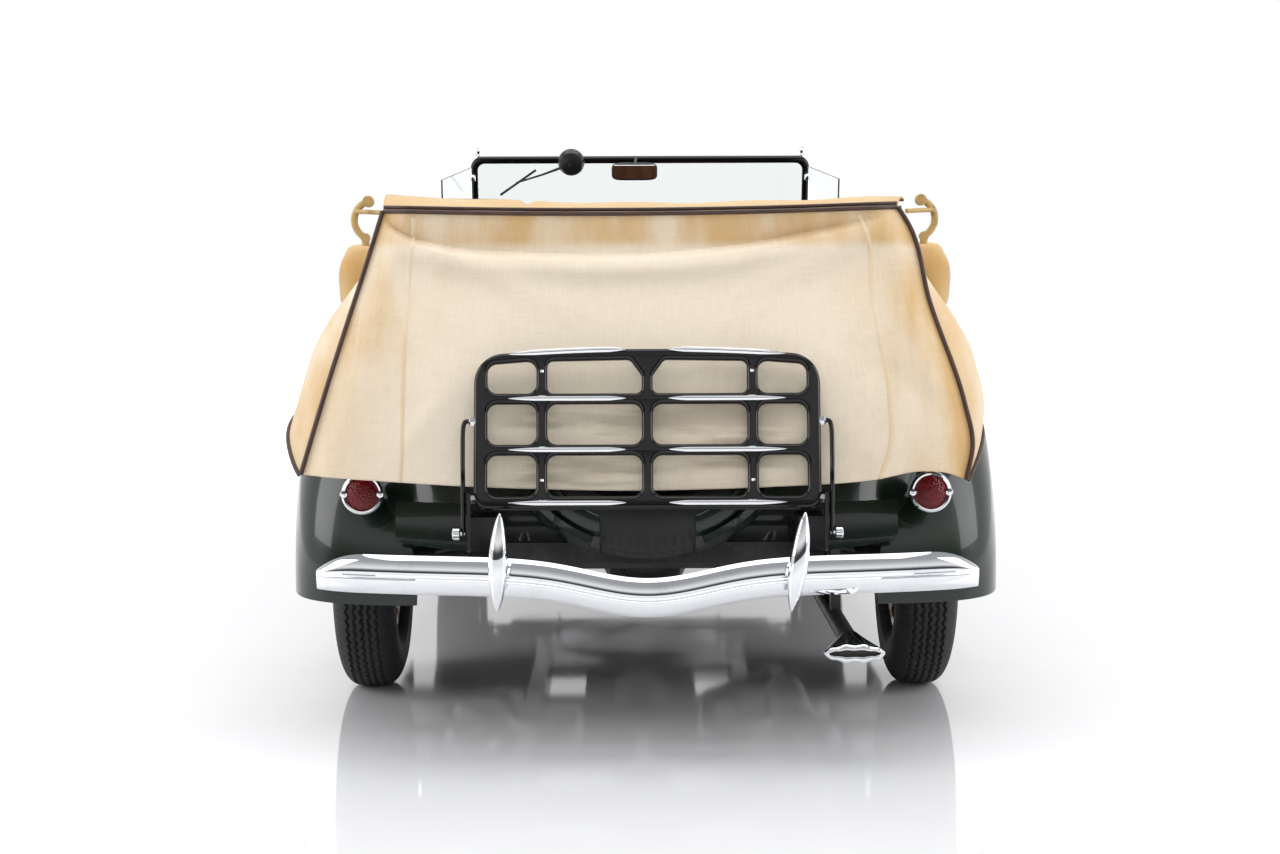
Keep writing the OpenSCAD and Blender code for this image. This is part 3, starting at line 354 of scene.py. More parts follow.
def blotch_group():
    """Soft blotches: two noises, one fine and one coarse, cut to a mask between Low and High."""
    t, i, o = effect("blotches", {"Vector": None, "Scale": 6.0, "Low": 0.4, "High": 0.65}, ["Mask"])
    coarse = t.noise(i["Vector"], i["Scale"])
    fine = t.noise(i["Vector"], t.math("MULTIPLY", i["Scale"], 7.3))
    both = t.math("ADD", t.math("MULTIPLY", coarse, 0.7), t.math("MULTIPLY", fine, 0.3))
    t.feed(t.ramp(both, i["Low"], i["High"]), o["Mask"])
    return t.tree


def weave_group():
    """Plain weave: two crossed sine waves, taken as the higher thread at each place, and a shade from noise
    drawn out along both threads."""
    t, i, o = effect("weave", {"Vector": None, "Threads": 900.0}, ["Height", "Shade"])
    parts = t.node("ShaderNodeSeparateXYZ", Vector=i["Vector"]).outputs
    turn = t.math("MULTIPLY", i["Threads"], math.pi)
    a = t.math("SINE", t.math("MULTIPLY", parts["X"], turn))
    b = t.math("SINE", t.math("MULTIPLY", parts["Y"], turn))
    weft, warp = t.math("ABSOLUTE", a), t.math("ABSOLUTE", b)
    t.feed(t.math("MAXIMUM", weft, warp), o["Height"])
    upright = t.streaks(i["Vector"], (260.0, 18.0, 1.0), 2.0)
    level = t.streaks(i["Vector"], (18.0, 260.0, 1.0), 2.0)
    t.feed(t.ramp(t.math("ADD", upright, level), 0.7, 1.3), o["Shade"])
    return t.tree


def grain_group():
    """Leather grain: cells of a Voronoi pattern with creased edges, over a soft noise."""
    t, i, o = effect("grain", {"Vector": None, "Scale": 350.0}, ["Height"])
    cells = t.node("ShaderNodeTexVoronoi", {"feature": "DISTANCE_TO_EDGE"}, Vector=i["Vector"],
                   Scale=i["Scale"]).outputs["Distance"]
    soft = t.noise(i["Vector"], t.math("MULTIPLY", i["Scale"], 0.2))
    t.feed(t.math("ADD", t.ramp(cells, 0.0, 0.25), t.math("MULTIPLY", soft, 0.6)), o["Height"])
    return t.tree


BLOTCHES, WEAVE, GRAIN = blotch_group(), weave_group(), grain_group()


def shader(name, **fixed):
    """New material with a Principled shader, its plain values set, and texture coordinates."""
    material = bpy.data.materials.new(name)
    material.use_nodes = True
    t = Tree(material.node_tree)
    main = material.node_tree.nodes["Principled BSDF"]
    for key, value in fixed.items():
        main.inputs[key.replace("_", " ")].default_value = value
    where = t.node("ShaderNodeTexCoord").outputs
    return material, t, main, where


def finish(name, colour, second, scale=6.0, low=0.4, high=0.65, rough=(0.3, 0.5), relief=None, **fixed):
    """Two-tone finish: blotches mix two colours and two roughnesses, and an optional relief of (scale,
    depth, grain) lifts the surface by noise or leather grain."""
    material, t, main, where = shader(name, **fixed)
    mask = t.group(BLOTCHES, Vector=where["Object"], Scale=scale, Low=low, High=high).outputs["Mask"]
    t.feed(t.blend(mask, (*colour, 1), (*second, 1)), main.inputs["Base Color"])
    t.feed(t.ramp(mask, 0, 1, *rough), main.inputs["Roughness"])
    if relief:
        size, depth, grain = relief
        height = (t.group(GRAIN, Vector=where["Object"], Scale=size).outputs["Height"] if grain
                  else t.noise(where["Object"], size))
        t.feed(t.relief(height, 0.5, depth), main.inputs["Normal"])
    return material


def canvas_finish(name, colour, golden, soil):
    """Canvas: plain weave on the UV map in metres, slubs, soil blotches, golden colour where the piece's
    staining attribute says (real staining, and painted shade on the curtain's top strip), broken up by
    streaks, and darker streaks where its attribute for the lower middle says."""
    material, t, main, where = shader(name, Sheen_Weight=0.25, Sheen_Roughness=0.6, Specular_IOR_Level=0.2)
    weave = t.group(WEAVE, Vector=where["UV"], Threads=620.0).outputs
    soiled = t.group(BLOTCHES, Vector=where["Object"], Scale=4.5, Low=0.5, High=0.72).outputs["Mask"]
    base = t.blend(t.math("MULTIPLY", soiled, 0.35), (*colour, 1), (*soil, 1))
    # Golden colour from the staining attribute: real staining at the edges, and painted shade on the
    # curtain's top strip.
    stain_and_shade = t.node("ShaderNodeAttribute", {"attribute_name": "stain_and_shade"}).outputs["Fac"]
    streak = t.streaks(where["Object"], (9.0, 4.0, 2.2), 5.0)
    stained_and_shaded = t.math("MULTIPLY", stain_and_shade, t.ramp(streak, 0.28, 0.66, 0.25, 1.15))
    base = t.blend(stained_and_shaded, base, (*golden, 1))
    # Darker in streaks across the lower middle, where the piece's attribute for it says.
    lower_middle_dark = t.node("ShaderNodeAttribute", {"attribute_name": "lower_middle_dark"}).outputs["Fac"]
    dark_streaks = t.ramp(t.streaks(where["Object"], (3.0, 3.0, 26.0), 4.0), 0.4, 0.6)
    base = t.blend(t.math("MULTIPLY", lower_middle_dark, dark_streaks), base, (*(0.72 * c for c in soil), 1))
    threads = t.blend(weave["Shade"], (0.82, 0.8, 0.77, 1), (1, 1, 1, 1))
    woven = t.node("ShaderNodeMix", {"data_type": "RGBA", "blend_type": "MULTIPLY"}, _0=0.34, _6=base,
                   _7=threads)
    t.feed(woven.outputs[2], main.inputs["Base Color"])
    t.feed(t.ramp(weave["Shade"], 0, 1, 0.95, 0.8), main.inputs["Roughness"])
    t.feed(t.relief(weave["Height"], 0.35, 0.0006), main.inputs["Normal"])
    return material


def glass_finish(name, colour, rough=0.0, pips=0.0, clear=1.0):
    """Clear or coloured glass with faint rough specks. pips is the scale of the round pips pressed into a
    lens, and clear the share of light that passes; a lens that passes less gets painted shade between its
    pips."""
    material, t, main, where = shader(name, Transmission_Weight=clear, IOR=1.45)
    main.inputs["Base Color"].default_value = (*colour, 1)
    specks = t.group(BLOTCHES, Vector=where["Object"], Scale=9.0, Low=0.55, High=0.8).outputs["Mask"]
    t.feed(t.ramp(specks, 0, 1, rough, rough + 0.04), main.inputs["Roughness"])
    if pips:
        cells = t.node("ShaderNodeTexVoronoi", Vector=where["Object"], Scale=pips).outputs["Distance"]
        # Painted shade: the colour darkens between the pips of a lens that passes less light.
        shade_between_pips = tuple(0.35 * c for c in colour) if clear < 1 else colour
        t.feed(t.blend(t.ramp(cells, 0.1, 0.6), (*colour, 1), (*shade_between_pips, 1)), main.inputs["Base Color"])
        t.feed(t.relief(cells, 0.6, 0.003), main.inputs["Normal"])
    return material


BODY_PAINT = finish("body_paint", (0.007, 0.014, 0.009), (0.010, 0.019, 0.012), 2.2, 0.35, 0.7,
                    (0.22, 0.30), (900.0, 0.00004, False),
                    Coat_Weight=0.55, Coat_Roughness=0.04, Specular_IOR_Level=0.25)
GLOSS_BLACK = finish("rack_black", (0.003, 0.003, 0.004), (0.016, 0.016, 0.018), 26.0, 0.60, 0.76,
                     (0.10, 0.38), (420.0, 0.00008, False),
                     Coat_Weight=0.35, Coat_Roughness=0.04, Specular_IOR_Level=0.2)
FRAME_BLACK = finish("black_paint", (0.010, 0.010, 0.011), (0.045, 0.040, 0.036), 9.0, 0.45, 0.75,
                     (0.32, 0.62), (260.0, 0.0003, False))
IRON = finish("iron", (0.055, 0.052, 0.050), (0.12, 0.075, 0.045), 12.0, 0.5, 0.75, (0.45, 0.75),
              (180.0, 0.0006, False), Metallic=0.6)
CHROME = finish("bright_trim", (0.74, 0.75, 0.77), (0.62, 0.63, 0.66), 14.0, 0.5, 0.8, (0.035, 0.10),
                (60.0, 0.00004, False), Metallic=1.0)
RUBBER = finish("tyre", (0.012, 0.012, 0.013), (0.035, 0.033, 0.031), 16.0, 0.45, 0.8, (0.62, 0.85),
                (700.0, 0.0002, False))
PIPING = finish("piping", (0.040, 0.016, 0.010), (0.075, 0.032, 0.018), 30.0, 0.4, 0.7, (0.35, 0.6),
                (900.0, 0.0002, True))
TAN_IRON = finish("top_irons", (0.50, 0.34, 0.13), (0.20, 0.12, 0.05), 26.0, 0.52, 0.72, (0.35, 0.6),
                  (300.0, 0.0003, False))
LEATHER = finish("leather", (0.16, 0.065, 0.026), (0.10, 0.038, 0.016), 11.0, 0.35, 0.7, (0.38, 0.56),
                 (420.0, 0.0005, True))
WHEEL_PAINT = finish("wheel_paint", (0.40, 0.17, 0.045), (0.28, 0.11, 0.03), 8.0, 0.4, 0.75, (0.24, 0.4),
                     (800.0, 0.00005, False), Coat_Weight=0.6, Coat_Roughness=0.1)
MAT_RUBBER = finish("floor_rubber", (0.018, 0.018, 0.018), (0.05, 0.047, 0.042), 14.0, 0.4, 0.75,
                    (0.6, 0.85), (500.0, 0.0003, False))
DIAL_FACE = finish("dial_face", (0.62, 0.56, 0.42), (0.55, 0.48, 0.35), 30.0, 0.4, 0.7, (0.4, 0.5))
MIRROR = finish("mirror_glass", (0.75, 0.78, 0.82), (0.68, 0.71, 0.75), 20.0, 0.5, 0.8, (0.02, 0.06),
                Metallic=1.0)
CANVAS = canvas_finish("canvas", (0.88, 0.775, 0.62), (0.67, 0.43, 0.18), (0.69, 0.58, 0.44))
ROLL_CANVAS = canvas_finish("roll_canvas", (0.62, 0.44, 0.21), (0.55, 0.31, 0.09), (0.45, 0.31, 0.15))
CLEAR_GLASS = glass_finish("clear_glass", (0.93, 0.97, 0.96))
LAMP_GLASS = glass_finish("lamp_glass", (0.95, 0.96, 0.95), 0.03, 90.0)
RED_GLASS = glass_finish("red_glass", (0.42, 0.006, 0.015), 0.06, 230.0, clear=0.25)


# Cover over the folded top: curtain, side panels, top roll, seams and piping

EDGE_SHARE = [0, 0.05, 0.36, 0.72, 0.866, 1]
FOLD_U = [-1, -0.92, -0.75, -0.4, 0, 0.35, 0.6, 0.85, 1]
FOLD_V = [0.012, 0.07, 0.122, 0.145, 0.147, 0.118, 0.08, 0.04, 0.012]
HEM_U = [-1, -0.5, 0, 0.4, 0.72, 0.86, 0.93, 1]
HEM_Z = [659, 633, 622, 630, 645, 664, 660, 641]
DEPTH_V = [0, 0.16, 0.26, 0.38, 0.5, 0.64, 0.82, 1]
DEPTH_Y = [-780, -800, -814, -841, -870, -903, -932, -953]
# Tension folds: u and v at both ends, height and width
FOLDS = [(-0.97, 0.03, -0.25, 0.36, 9, 0.05), (-0.95, 0.06, -0.55, 0.55, 5, 0.04),
         (0.97, 0.04, 0.35, 0.30, 8, 0.05), (0.95, 0.06, 0.62, 0.62, 6, 0.05),
         (-0.6, 0.62, -0.75, 0.95, 4, 0.04), (-0.2, 0.86, 0.45, 0.83, 5, 0.03),
         (-0.3, 0.95, 0.5, 0.93, 4, 0.022), (0.7, 0.5, 0.95, 0.85, -6, 0.06),
         (-0.5, 0.2, 0.5, 0.2, 4, 0.05)]
HEM_FRONT_Z = 910
SIDE_FRONT_Y = -428


def curtain_edges(v):
    """Left and right piped edges of the rear curtain at height share v, each a smooth curve."""
    left = through(v, [0, 0.5, 1], [-630, -722, -811])
    right = through(v, EDGE_SHARE, [604, 624, 676, 747, 764, 748])
    return left, right


def curtain(u, v):
    """Rear curtain at u across (-1 to 1) and v down (0 to 1). It slopes out towards the hem. A strip under
    the top piping leans in as far as a swag line, below which the cloth swells out again. Tension folds run
    from the top corners, and slow waves cross the lower half."""
    left, right = curtain_edges(v)
    x = mix(left, right, (u + 1) / 2)
    top = 1279 - 11 * (1 - u * u) + 3 * u
    z = mix(top, through(u, HEM_U, HEM_Z), v)
    fold = through(u, FOLD_U, FOLD_V)
    depth = through(v, DEPTH_V, DEPTH_Y)
    swag = ease((fold - 0.012) / 0.09)
    tuck = np.where(v < fold, (v / fold) ** 1.5, 1 - ease((v - fold) / 0.028))
    lip = bump(v, fold + 0.055, 0.04)
    y = depth + swag * ((36 - 18 * bump(u, 0, 0.4)) * tuck - 9 * lip)
    for u0, v0, u1, v1, height, width in FOLDS:
        du, dv = u1 - u0, v1 - v0
        s = np.clip(((u - u0) * du + (v - v0) * dv) / (du * du + dv * dv), 0, 1)
        off = np.hypot(u - u0 - s * du, v - v0 - s * dv)
        y = y - height * np.sin(np.pi * np.clip(s, 0.03, 0.97)) * bump(off, 0, width)
    low = ease((v - 0.3) / 0.5)
    y = y - 5 * low * np.sin(3.1 * u + 0.6) - 3 * low * np.sin(7.3 * u - 2.1 * v + 1.0)
    y = y - 2.2 * ease((v - 0.7) / 0.3) * np.sin(15 * u + 2 * v)
    return points(x, y + 34 * ease((np.abs(u) - 0.86) / 0.14) ** 2, z)


def top_roll(u, s):
    """Top of the folded roof: from the rear piping (s 0) up and forward to its far edge (s 1), which sags
    in the middle and has one torn notch."""
    rear = curtain(u, np.array(0.0))
    far_z = 1293 + through(u, [-1, 0, 1], [22, 0, 14]) - 15 * bump(u, -0.45, 0.022)
    y = mix(rear[..., 1], -560, s)
    z = mix(rear[..., 2], far_z, s) + 13 * np.sin(np.pi * s) ** 0.7 + 2 * np.sin(14 * u + 3 * s)
    x = mix(rear[..., 0], through(u, [-1, 0, 1], [-640, 0, 640]), s)
    return points(x, y, z)


def cloth_uv(grid):
    """UV in metres: arc length across the middle row and down the middle column."""
    across = np.linalg.norm(np.diff(grid[grid.shape[0] // 2], axis=0), axis=-1)
    down = np.linalg.norm(np.diff(grid[:, grid.shape[1] // 2], axis=0), axis=-1)
    a, d = np.concatenate([[0], across.cumsum()]) * MM, np.concatenate([[0], down.cumsum()]) * MM
    return np.stack(np.broadcast_arrays(a[None, :], d[:, None]), -1)


def tint_of(obj, values, name="stain_and_shade"):
    """Writes one of a canvas piece's colour attributes, which hold its staining with painted shade and its
    darker lower streaks: one number per point, or one for all.
    """
    layer = obj.data.attributes.new(name, "FLOAT", "POINT")
    spread = np.broadcast_to(np.asarray(values, np.float32), len(obj.data.vertices))
    layer.data.foreach_set("value", np.ascontiguousarray(spread))


def thicken(obj, thick):
    """Gives an open sheet its thickness with a live modifier."""
    wall = obj.modifiers.new("thickness", "SOLIDIFY")
    wall.thickness = thick
    wall.offset = 0.0


def rear_cover():
    """Rear curtain, side panels, seams, piping and top roll of the cover over the folded roof."""
    v, u = params(150 // DENSE, 260 // DENSE, 0, 1, -1, 1)
    grid = curtain(u, v)
    sheet = Shape().grid(grid, uv=cloth_uv(grid)).make("top_curtain", CANVAS, slot="canvas",
                                                      stands_for=["top_cover"], closed=False)
    x, z = (read(sheet.data) / MM)[:, [0, 2]].T
    share = np.clip((1280 - z) / 640, 0, 1)
    left, right = curtain_edges(share)
    edge = np.minimum(x - left, right - x)
    stain_and_shade = 0.85 * np.exp(-np.maximum(edge - 60, 0) / 90) * ease((share - 0.05) / 0.3)
    stain_and_shade += 0.22 * bump(edge, 0, 30)
    stain_and_shade *= 1 - 0.6 * ease((share - 0.4) / 0.25) * (x < 0)
    # Painted shade: the strip under the top piping leans in and lies in shade, and is coloured golden tan
    # here.
    stain_and_shade += 0.8 * ease((0.16 - share) / 0.05)
    # Darker streaked band across the lower middle of the curtain, behind the rack.
    lower_middle_dark = ease((share - 0.66) / 0.1) * ease((380 - np.abs(x)) / 120) * 0.75
    tint_of(sheet, lower_middle_dark, "lower_middle_dark")
    tint_of(sheet, np.clip(stain_and_shade, 0, 1))
    thicken(sheet, 0.0018)
    seams = Shape()
    pipes = Shape()
    down = np.linspace(0, 1, 90)
    for us in ([-0.87, -0.70], [0.83, 0.735]):
        line = curtain(mix(us[0], us[1], down), 0.02 + 0.98 * down) + (0, -1.6, 0)
        section = ((-5.5, 1.2), (-3.5, 0), (0, -0.5), (3.5, 0), (5.5, 1.2))
        strip = np.stack([line + (w, d, 0) for w, d in section], 1)
        seams.grid(strip, uv=cloth_uv(strip))
    for side in (-1, 1):
        pipes.tube(curtain(np.full(90, float(side)), down) + (0, -3, 0), 5.5, 10, up=(0, 1, 0))
    for lift, back, r in ((0, 0, 5.5), (10, 9, 4.5)):
        line = curtain(np.linspace(-0.995, 0.995, 120), np.zeros(120)) + (0, back - 3, lift)
        pipes.tube(line, r, 10)
    for side, name in ((-1, "left"), (1, "right")):
        vs, s = params(90 // DENSE, 70 // DENSE)
        panel = side_grid(side, s, vs)
        cloth = Shape().grid(panel, uv=cloth_uv(panel)).make("top_side_" + name, CANVAS, slot="canvas",
                                                             closed=False)
        tint_of(cloth, 0.75)
        thicken(cloth, 0.0018)
        pipes.tube(panel[-1] + (4 * side, 0, -1), 5, 10, up=(1, 0, 0))
        pipes.tube(panel[:, -1] + (0, 2, 0), 4, 8, up=(0, 1, 0))
    across, s = params(200 // DENSE, 40 // DENSE, -1, 1)
    roll = top_roll(across, s)
    top = Shape().grid(roll, uv=cloth_uv(roll)).make("top_roll", ROLL_CANVAS, slot="canvas", closed=False)
    tint_of(top, 0.4)
    thicken(top, 0.002)
    pipes.tube(roll[:, -1], 4.5, 10)
    seam_piece = seams.make("top_seams", CANVAS, slot="canvas", closed=False)
    tint_of(seam_piece, 0.5)
    thicken(seam_piece, 0.001)
    piping = pipes.make("top_piping", PIPING, slot="canvas")


def side_grid(side, s, v):
    """Grid of a side panel, rows down (v) and columns forward (s): from the curtain's edge straight to the
    front edge, with a belly and slow waves."""
    rear = curtain(np.array(float(side)), v)[:, 0]
    front_x = through(v, [0, 0.3, 1], [646, 668, 716]) * side
    hem = mix(rear[-1, 2], HEM_FRONT_Z, s ** 0.8)
    head = mix(rear[0, 2], 1294, s)
    belly = (74 if side < 0 else 66) * ease((v - 0.2) / 0.5) * np.sin(np.pi * s ** 0.8) * side
    waves = 5 * side * np.sin(9 * s + 5 * v) * ease(v / 0.3) * np.sin(np.pi * s)
    x = mix(rear[:, :1], front_x, s) + belly + waves
    y = mix(rear[:, 1:2], SIDE_FRONT_Y, s)
    return points(x, y, mix(head, hem, v))


# Body: widths, tail, doors, cowl and hood

BELT_Z = 1115.0
BEAD_Z = 1078.0
DOOR_LOW_Z = 482.0
AXLE_Z = 356.0
WHEELBASE = 2845.0
COWL_Y = 1790.0
NOSE_Y = 2886.0
CORNER_Y = -250.0
ARCH_R = 445.0
WALL = 40.0
SHEET = 5.0
TAIL_LEAN = math.radians(16)
FRONT_DOOR = (644.0, 1505.0)
REAR_DOOR = (30.0, 592.0)
HINGE_OUT = 12.0
HINGE_ZS = (930.0, 1050.0)
SHIELD_Y = 1640.0
SHIELD_Z = 1205.0
SHIELD_LEAN = math.radians(15)


def half_w(y):
    """Half width of the body at its waist, narrowing forward of the rear seat."""
    return 705 - 160 * (np.maximum(0, y - 300) / 1490) ** 2


def side_x(y, z):
    """Body side: half width, with a slight tumblehome above and below the waist."""
    return half_w(y) * (1 - 0.05 * ((z - 850) / 430) ** 2)


def nose_share(y):
    """Share of the way from cowl (0) to nose (1)."""
    return np.clip((y - COWL_Y) / (NOSE_Y - COWL_Y), 0, 1)


def hood_x(y, z):
    """Side of cowl and hood, drawn in to the narrow nose."""
    return np.where(y < COWL_Y, side_x(y, z), mix(side_x(COWL_Y, z), 215, nose_share(y) ** 0.85))


HOOD_LOW_Z = 700.0
APRON_TOP_Z = 690.0
# Louvres: their ends and spacing along the hood, the heights of both rows, and how far they stand out.
LOUVRE_ENDS = (1930, 2690)
LOUVRE_STEP = 38
LOUVRE_ROWS = ((742, 812), (836, 906))
LOUVRE_DEPTH = 7


def hood_heights(share):
    """Crown height, top height and power of the superellipse, from cowl (0) to nose (1)."""
    return mix(1055, 775, share), mix(1165, 1092, share), mix(3, 2.2, share)


def hood_section(y, t, low):
    """Half section of cowl or hood at station y: up the side from low (t 0) to the crown's height (t 0.45),
    then a superellipse quarter to the middle (t 1)."""
    crown, top, power = hood_heights(nose_share(y))
    up = np.clip(t / 0.45, 0, 1)
    a = np.pi / 2 * np.clip((t - 0.45) / 0.55, 0, 1) ** 0.8
    on_side = t < 0.45
    z_side = mix(low, crown, up)
    x = np.where(on_side, hood_x(y, z_side), hood_x(y, crown) * np.abs(np.cos(a)) ** (2 / power))
    z = np.where(on_side, z_side, mix(crown, top, np.sin(a) ** (2 / power)))
    return points(x, y, z)


def arch_z(y, r):
    """Height of a rear wheel arch of radius r, and 0 beyond it."""
    return np.where(np.abs(y) < r, AXLE_Z + np.sqrt(np.maximum(0, r * r - y * y)), 0)


def tail_y(z):
    """Middle of the leaning tail at a height."""
    return -600 - (BELT_Z - z) * math.tan(TAIL_LEAN)


def tail_point(q, z):
    """Body side and tail: q from the rear door's edge (0) round a superellipse corner to the middle (1)."""
    a = np.pi / 2 * np.clip((q - 0.4) / 0.6, 0, 1) ** 0.9
    y_side = mix(24, CORNER_Y, q / 0.4)
    x = np.where(q < 0.4, side_x(y_side, z), side_x(CORNER_Y, z) * np.abs(np.cos(a)) ** 0.667)
    y = np.where(q < 0.4, y_side, CORNER_Y + (tail_y(z) - CORNER_Y) * np.sin(a) ** 0.667)
    return points(x, y, z)


def full_width(right):
    """Right-hand half grid, columns towards the middle, joined to its mirror image."""
    return np.concatenate([right, right[:, -2::-1] * (-1, 1, 1)], 1)


def hinge_pair(shape, pin, way, door):
    """Two hinges: a barrel and leaf on the door, or a pin, end knuckles and leaves on the body."""
    for z in HINGE_ZS:
        if door:
            shape.turned([(4.3, -20), (7, -20), (7, 20), (4.3, 20), (4.3, -20)], (*pin, z), (0, 0, 1), 20)
            shape.block((pin[0] - 21, pin[1] + (4 if way > 0 else -30), z - 20),
                        (pin[0] - 4, pin[1] + (30 if way > 0 else -4), z + 20))
        else:
            shape.turned([(0, -33), (4, -33), (4, 33), (0, 33)], (*pin, z), (0, 0, 1), 16)
            for k in (-27, 27):
                shape.turned([(0, k - 6), (6, k - 6), (7, k - 5), (7, k + 5), (6, k + 6), (0, k + 6)],
                             (*pin, z), (0, 0, 1), 20)
                shape.block((pin[0] - 21, pin[1] - (2 if way > 0 else 30), z + k - 6),
                            (pin[0] + 1, pin[1] + (30 if way > 0 else 2), z + k + 6))


FRONT_PIN = (float(half_w(FRONT_DOOR[1])) + HINGE_OUT, FRONT_DOOR[1] + 3)
REAR_PIN = (float(half_w(REAR_DOOR[0])) + HINGE_OUT, REAR_DOOR[0] - 3)


def bead(shape, path, radius=5.0):
    """Raised moulding line: a round rod half sunk in the body side."""
    shape.tube(path, radius, 10)


def tail_body():
    """Rear quarters and tail in one skin, with belt moulding, rolled top edge, jambs under the rear doors
    and the body's hinge halves."""
    k, q = params(26, 64)
    low = np.maximum(565, arch_z(tail_point(q, 700.0)[..., 1], ARCH_R + 13))
    grid = full_width(tail_point(q, mix(low, BELT_Z, k)))
    shell = Shape().wall(grid[::-1], WALL)
    line = full_width(tail_point(q, np.full_like(q, BEAD_Z)))[0]
    bead(shell, line)
    bead(shell, full_width(tail_point(q, np.full_like(q, BELT_Z - 2)))[0], 7)
    jamb = Shape()
    i, j = params(30, 5)
    y = mix(24.3, math.sqrt((ARCH_R + 70) ** 2 - (DOOR_LOW_Z - AXLE_Z) ** 2), i ** 0.8)
    z = mix(np.maximum(DOOR_LOW_Z - 2, arch_z(y, ARCH_R + 13)),
            np.maximum(DOOR_LOW_Z, arch_z(y, ARCH_R + 70)), j)
    strip = points(side_x(y, z), y, z)
    jamb.slab(strip, strip - (WALL, 0, 0))
    hinge_pair(jamb, REAR_PIN, -1, False)
    jamb.both_sides()
    shell.add(jamb)
    shell.make("tail_skin", BODY_PAINT, slot="body_paint", stands_for=["rear_body"])


def door(name, side, y0, y1, pin, way):
    """Door leaf following the body side, cut round the rear wheel arch, with its moulding line, hinge
    barrels and handle; the inside has a leather panel with a map pocket."""
    k, i = params(30, 60)
    y = mix(y0, y1, i)
    z = mix(np.maximum(DOOR_LOW_Z, arch_z(y, ARCH_R + 79)), BELT_Z, k)
    skin = points(side_x(y, z), y, z)
    leaf = Shape().slab(skin, skin - (WALL, 0, 0))
    ys = np.linspace(y0 + 3, y1 - 3, 50)
    bead(leaf, points(side_x(ys, BEAD_Z), ys, BEAD_Z))
    bead(leaf, points(side_x(ys, BELT_Z) - 2, ys, BELT_Z - 2), 6)
    hinge_pair(leaf, pin, way, True)
    body = ("left_" if side < 0 else "right_") + name + "_door"
    tag = name + ("_left" if side < 0 else "_right")
    leaf.handed(side).make("door_skin_" + tag, BODY_PAINT, body, "body_paint", ["door_" + tag])
    k, i = params(40, 60)
    y = mix(y0 + 26, y1 - 26, i)
    z = mix(np.maximum(DOOR_LOW_Z, arch_z(y, ARCH_R + 79)) + 40, BELT_Z - 36, k)
    pocket = (9 * ease((0.55 - k) / 0.06) * ease((k - 0.12) / 0.05)
              * ease((i - 0.15) / 0.05) * ease((0.85 - i) / 0.05))
    pleat = 2.2 * np.abs(np.sin(np.pi * i * 9)) * ease((k - 0.58) / 0.05)
    rim = ease(np.minimum(np.minimum(i, 1 - i), np.minimum(k, 1 - k)) / 0.03)
    trim = points(side_x(y, z) - WALL - 0.6 - rim * (3 + pocket + pleat), y, z)
    panel = Shape().slab(trim, points(side_x(y, z) - WALL + 0.5, y, z)).handed(side)
    panel.make("door_trim_" + tag, LEATHER, body, "leather")
    grip_y = y0 + 45 if way < 0 else y1 - 45
    x = float(side_x(grip_y, 1030.0))
    lever = Shape().turned([(0, 0), (21, 0), (20, 4), (12, 8), (9, 26), (0, 27)], (x - 2, grip_y, 1030),
                           (1, 0, 0), 28)
    reach = np.linspace(0, 1, 14)
    lever.tube(points(x + 24 - 6 * reach ** 2, grip_y + way * 92 * reach, 1030 - 5 * reach),
               7.5 - 3 * reach, 12, flat=0.7)
    lever.turned([(0, 0), (17, 0), (15, -3), (8, -8), (0, -9)], (x - WALL - 3, grip_y, 1000), (1, 0, 0), 24)
    lever.tube(points(x - WALL - 12, grip_y + way * 62 * reach, 1000 - 4 * reach), 6 - 2 * reach, 10)
    lever.handed(side).make("door_handle_" + tag, CHROME, body, "bright_trim")


def cowl():
    """Scuttle ahead of the front doors: the hood's section carried back to them, with instrument board,
    bulkhead, hood rod, windshield posts and hinges."""
    i, t = params(30, 70)
    y = mix(1511.0, COWL_Y, i)
    shell = Shape().wall(full_width(hood_section(y, t, DOOR_LOW_Z)), SHEET)
    for near, far, low in ((1525.0, 1549.0, 940.0), (1760.0, 1770.0, 562.0)):
        edge = full_width(hood_section(np.full((1, 1), near), np.linspace(0.001, 1, 70)[None, :], low))[0]
        edge = edge * (0.994, 1, 1) - (0, 0, 4)
        share = np.linspace(0, 1, 14)[:, None]
        face = points(edge[None, :, 0], near - 10 * np.sin(np.pi * share) ** 0.7 * (near < 1600),
                      mix(low, edge[None, :, 2], share))
        plate = np.concatenate([face, (face[::-1] * (1, 0, 1)) + (0, far, 0)])
        shell.grid(plate, loop_rows=True)
    rod = np.array([(0, COWL_Y - 25, 1166.7), (0, NOSE_Y + 7.7, 1091.5)])
    shell.tube(rod, 5, 14)
    posts = Shape()
    lift = np.linspace(0, 1, 16)
    posts.tube(points(588 - 14 * (1 - lift) ** 3, SHIELD_Y, mix(1070, 1245, lift)), mix(13, 9, lift), 16)
    posts.pad((553, SHIELD_Y - 22, 1052), (597, SHIELD_Y + 22, 1092), 3)
    posts.turned([(0, 0), (8, 0), (8, 30), (0, 30)], (553, SHIELD_Y, SHIELD_Z), (1, 0, 0), 20)
    posts.turned([(0, 0), (15, 0), (15, 5), (11, 9), (0, 10)], (594, SHIELD_Y, SHIELD_Z), (1, 0, 0), 24)
    hinge_pair(posts, FRONT_PIN, 1, False)
    posts.both_sides()
    shell.add(posts)
    ys = np.linspace(1514, COWL_Y - 2, 20)
    for s in (-1, 1):
        bead(shell, points(s * side_x(ys, BEAD_Z), ys, mix(BEAD_Z, 1052, (ys - 1514) / 276)))
    shell.make("cowl_skin", BODY_PAINT, slot="body_paint", stands_for=["cowl"])


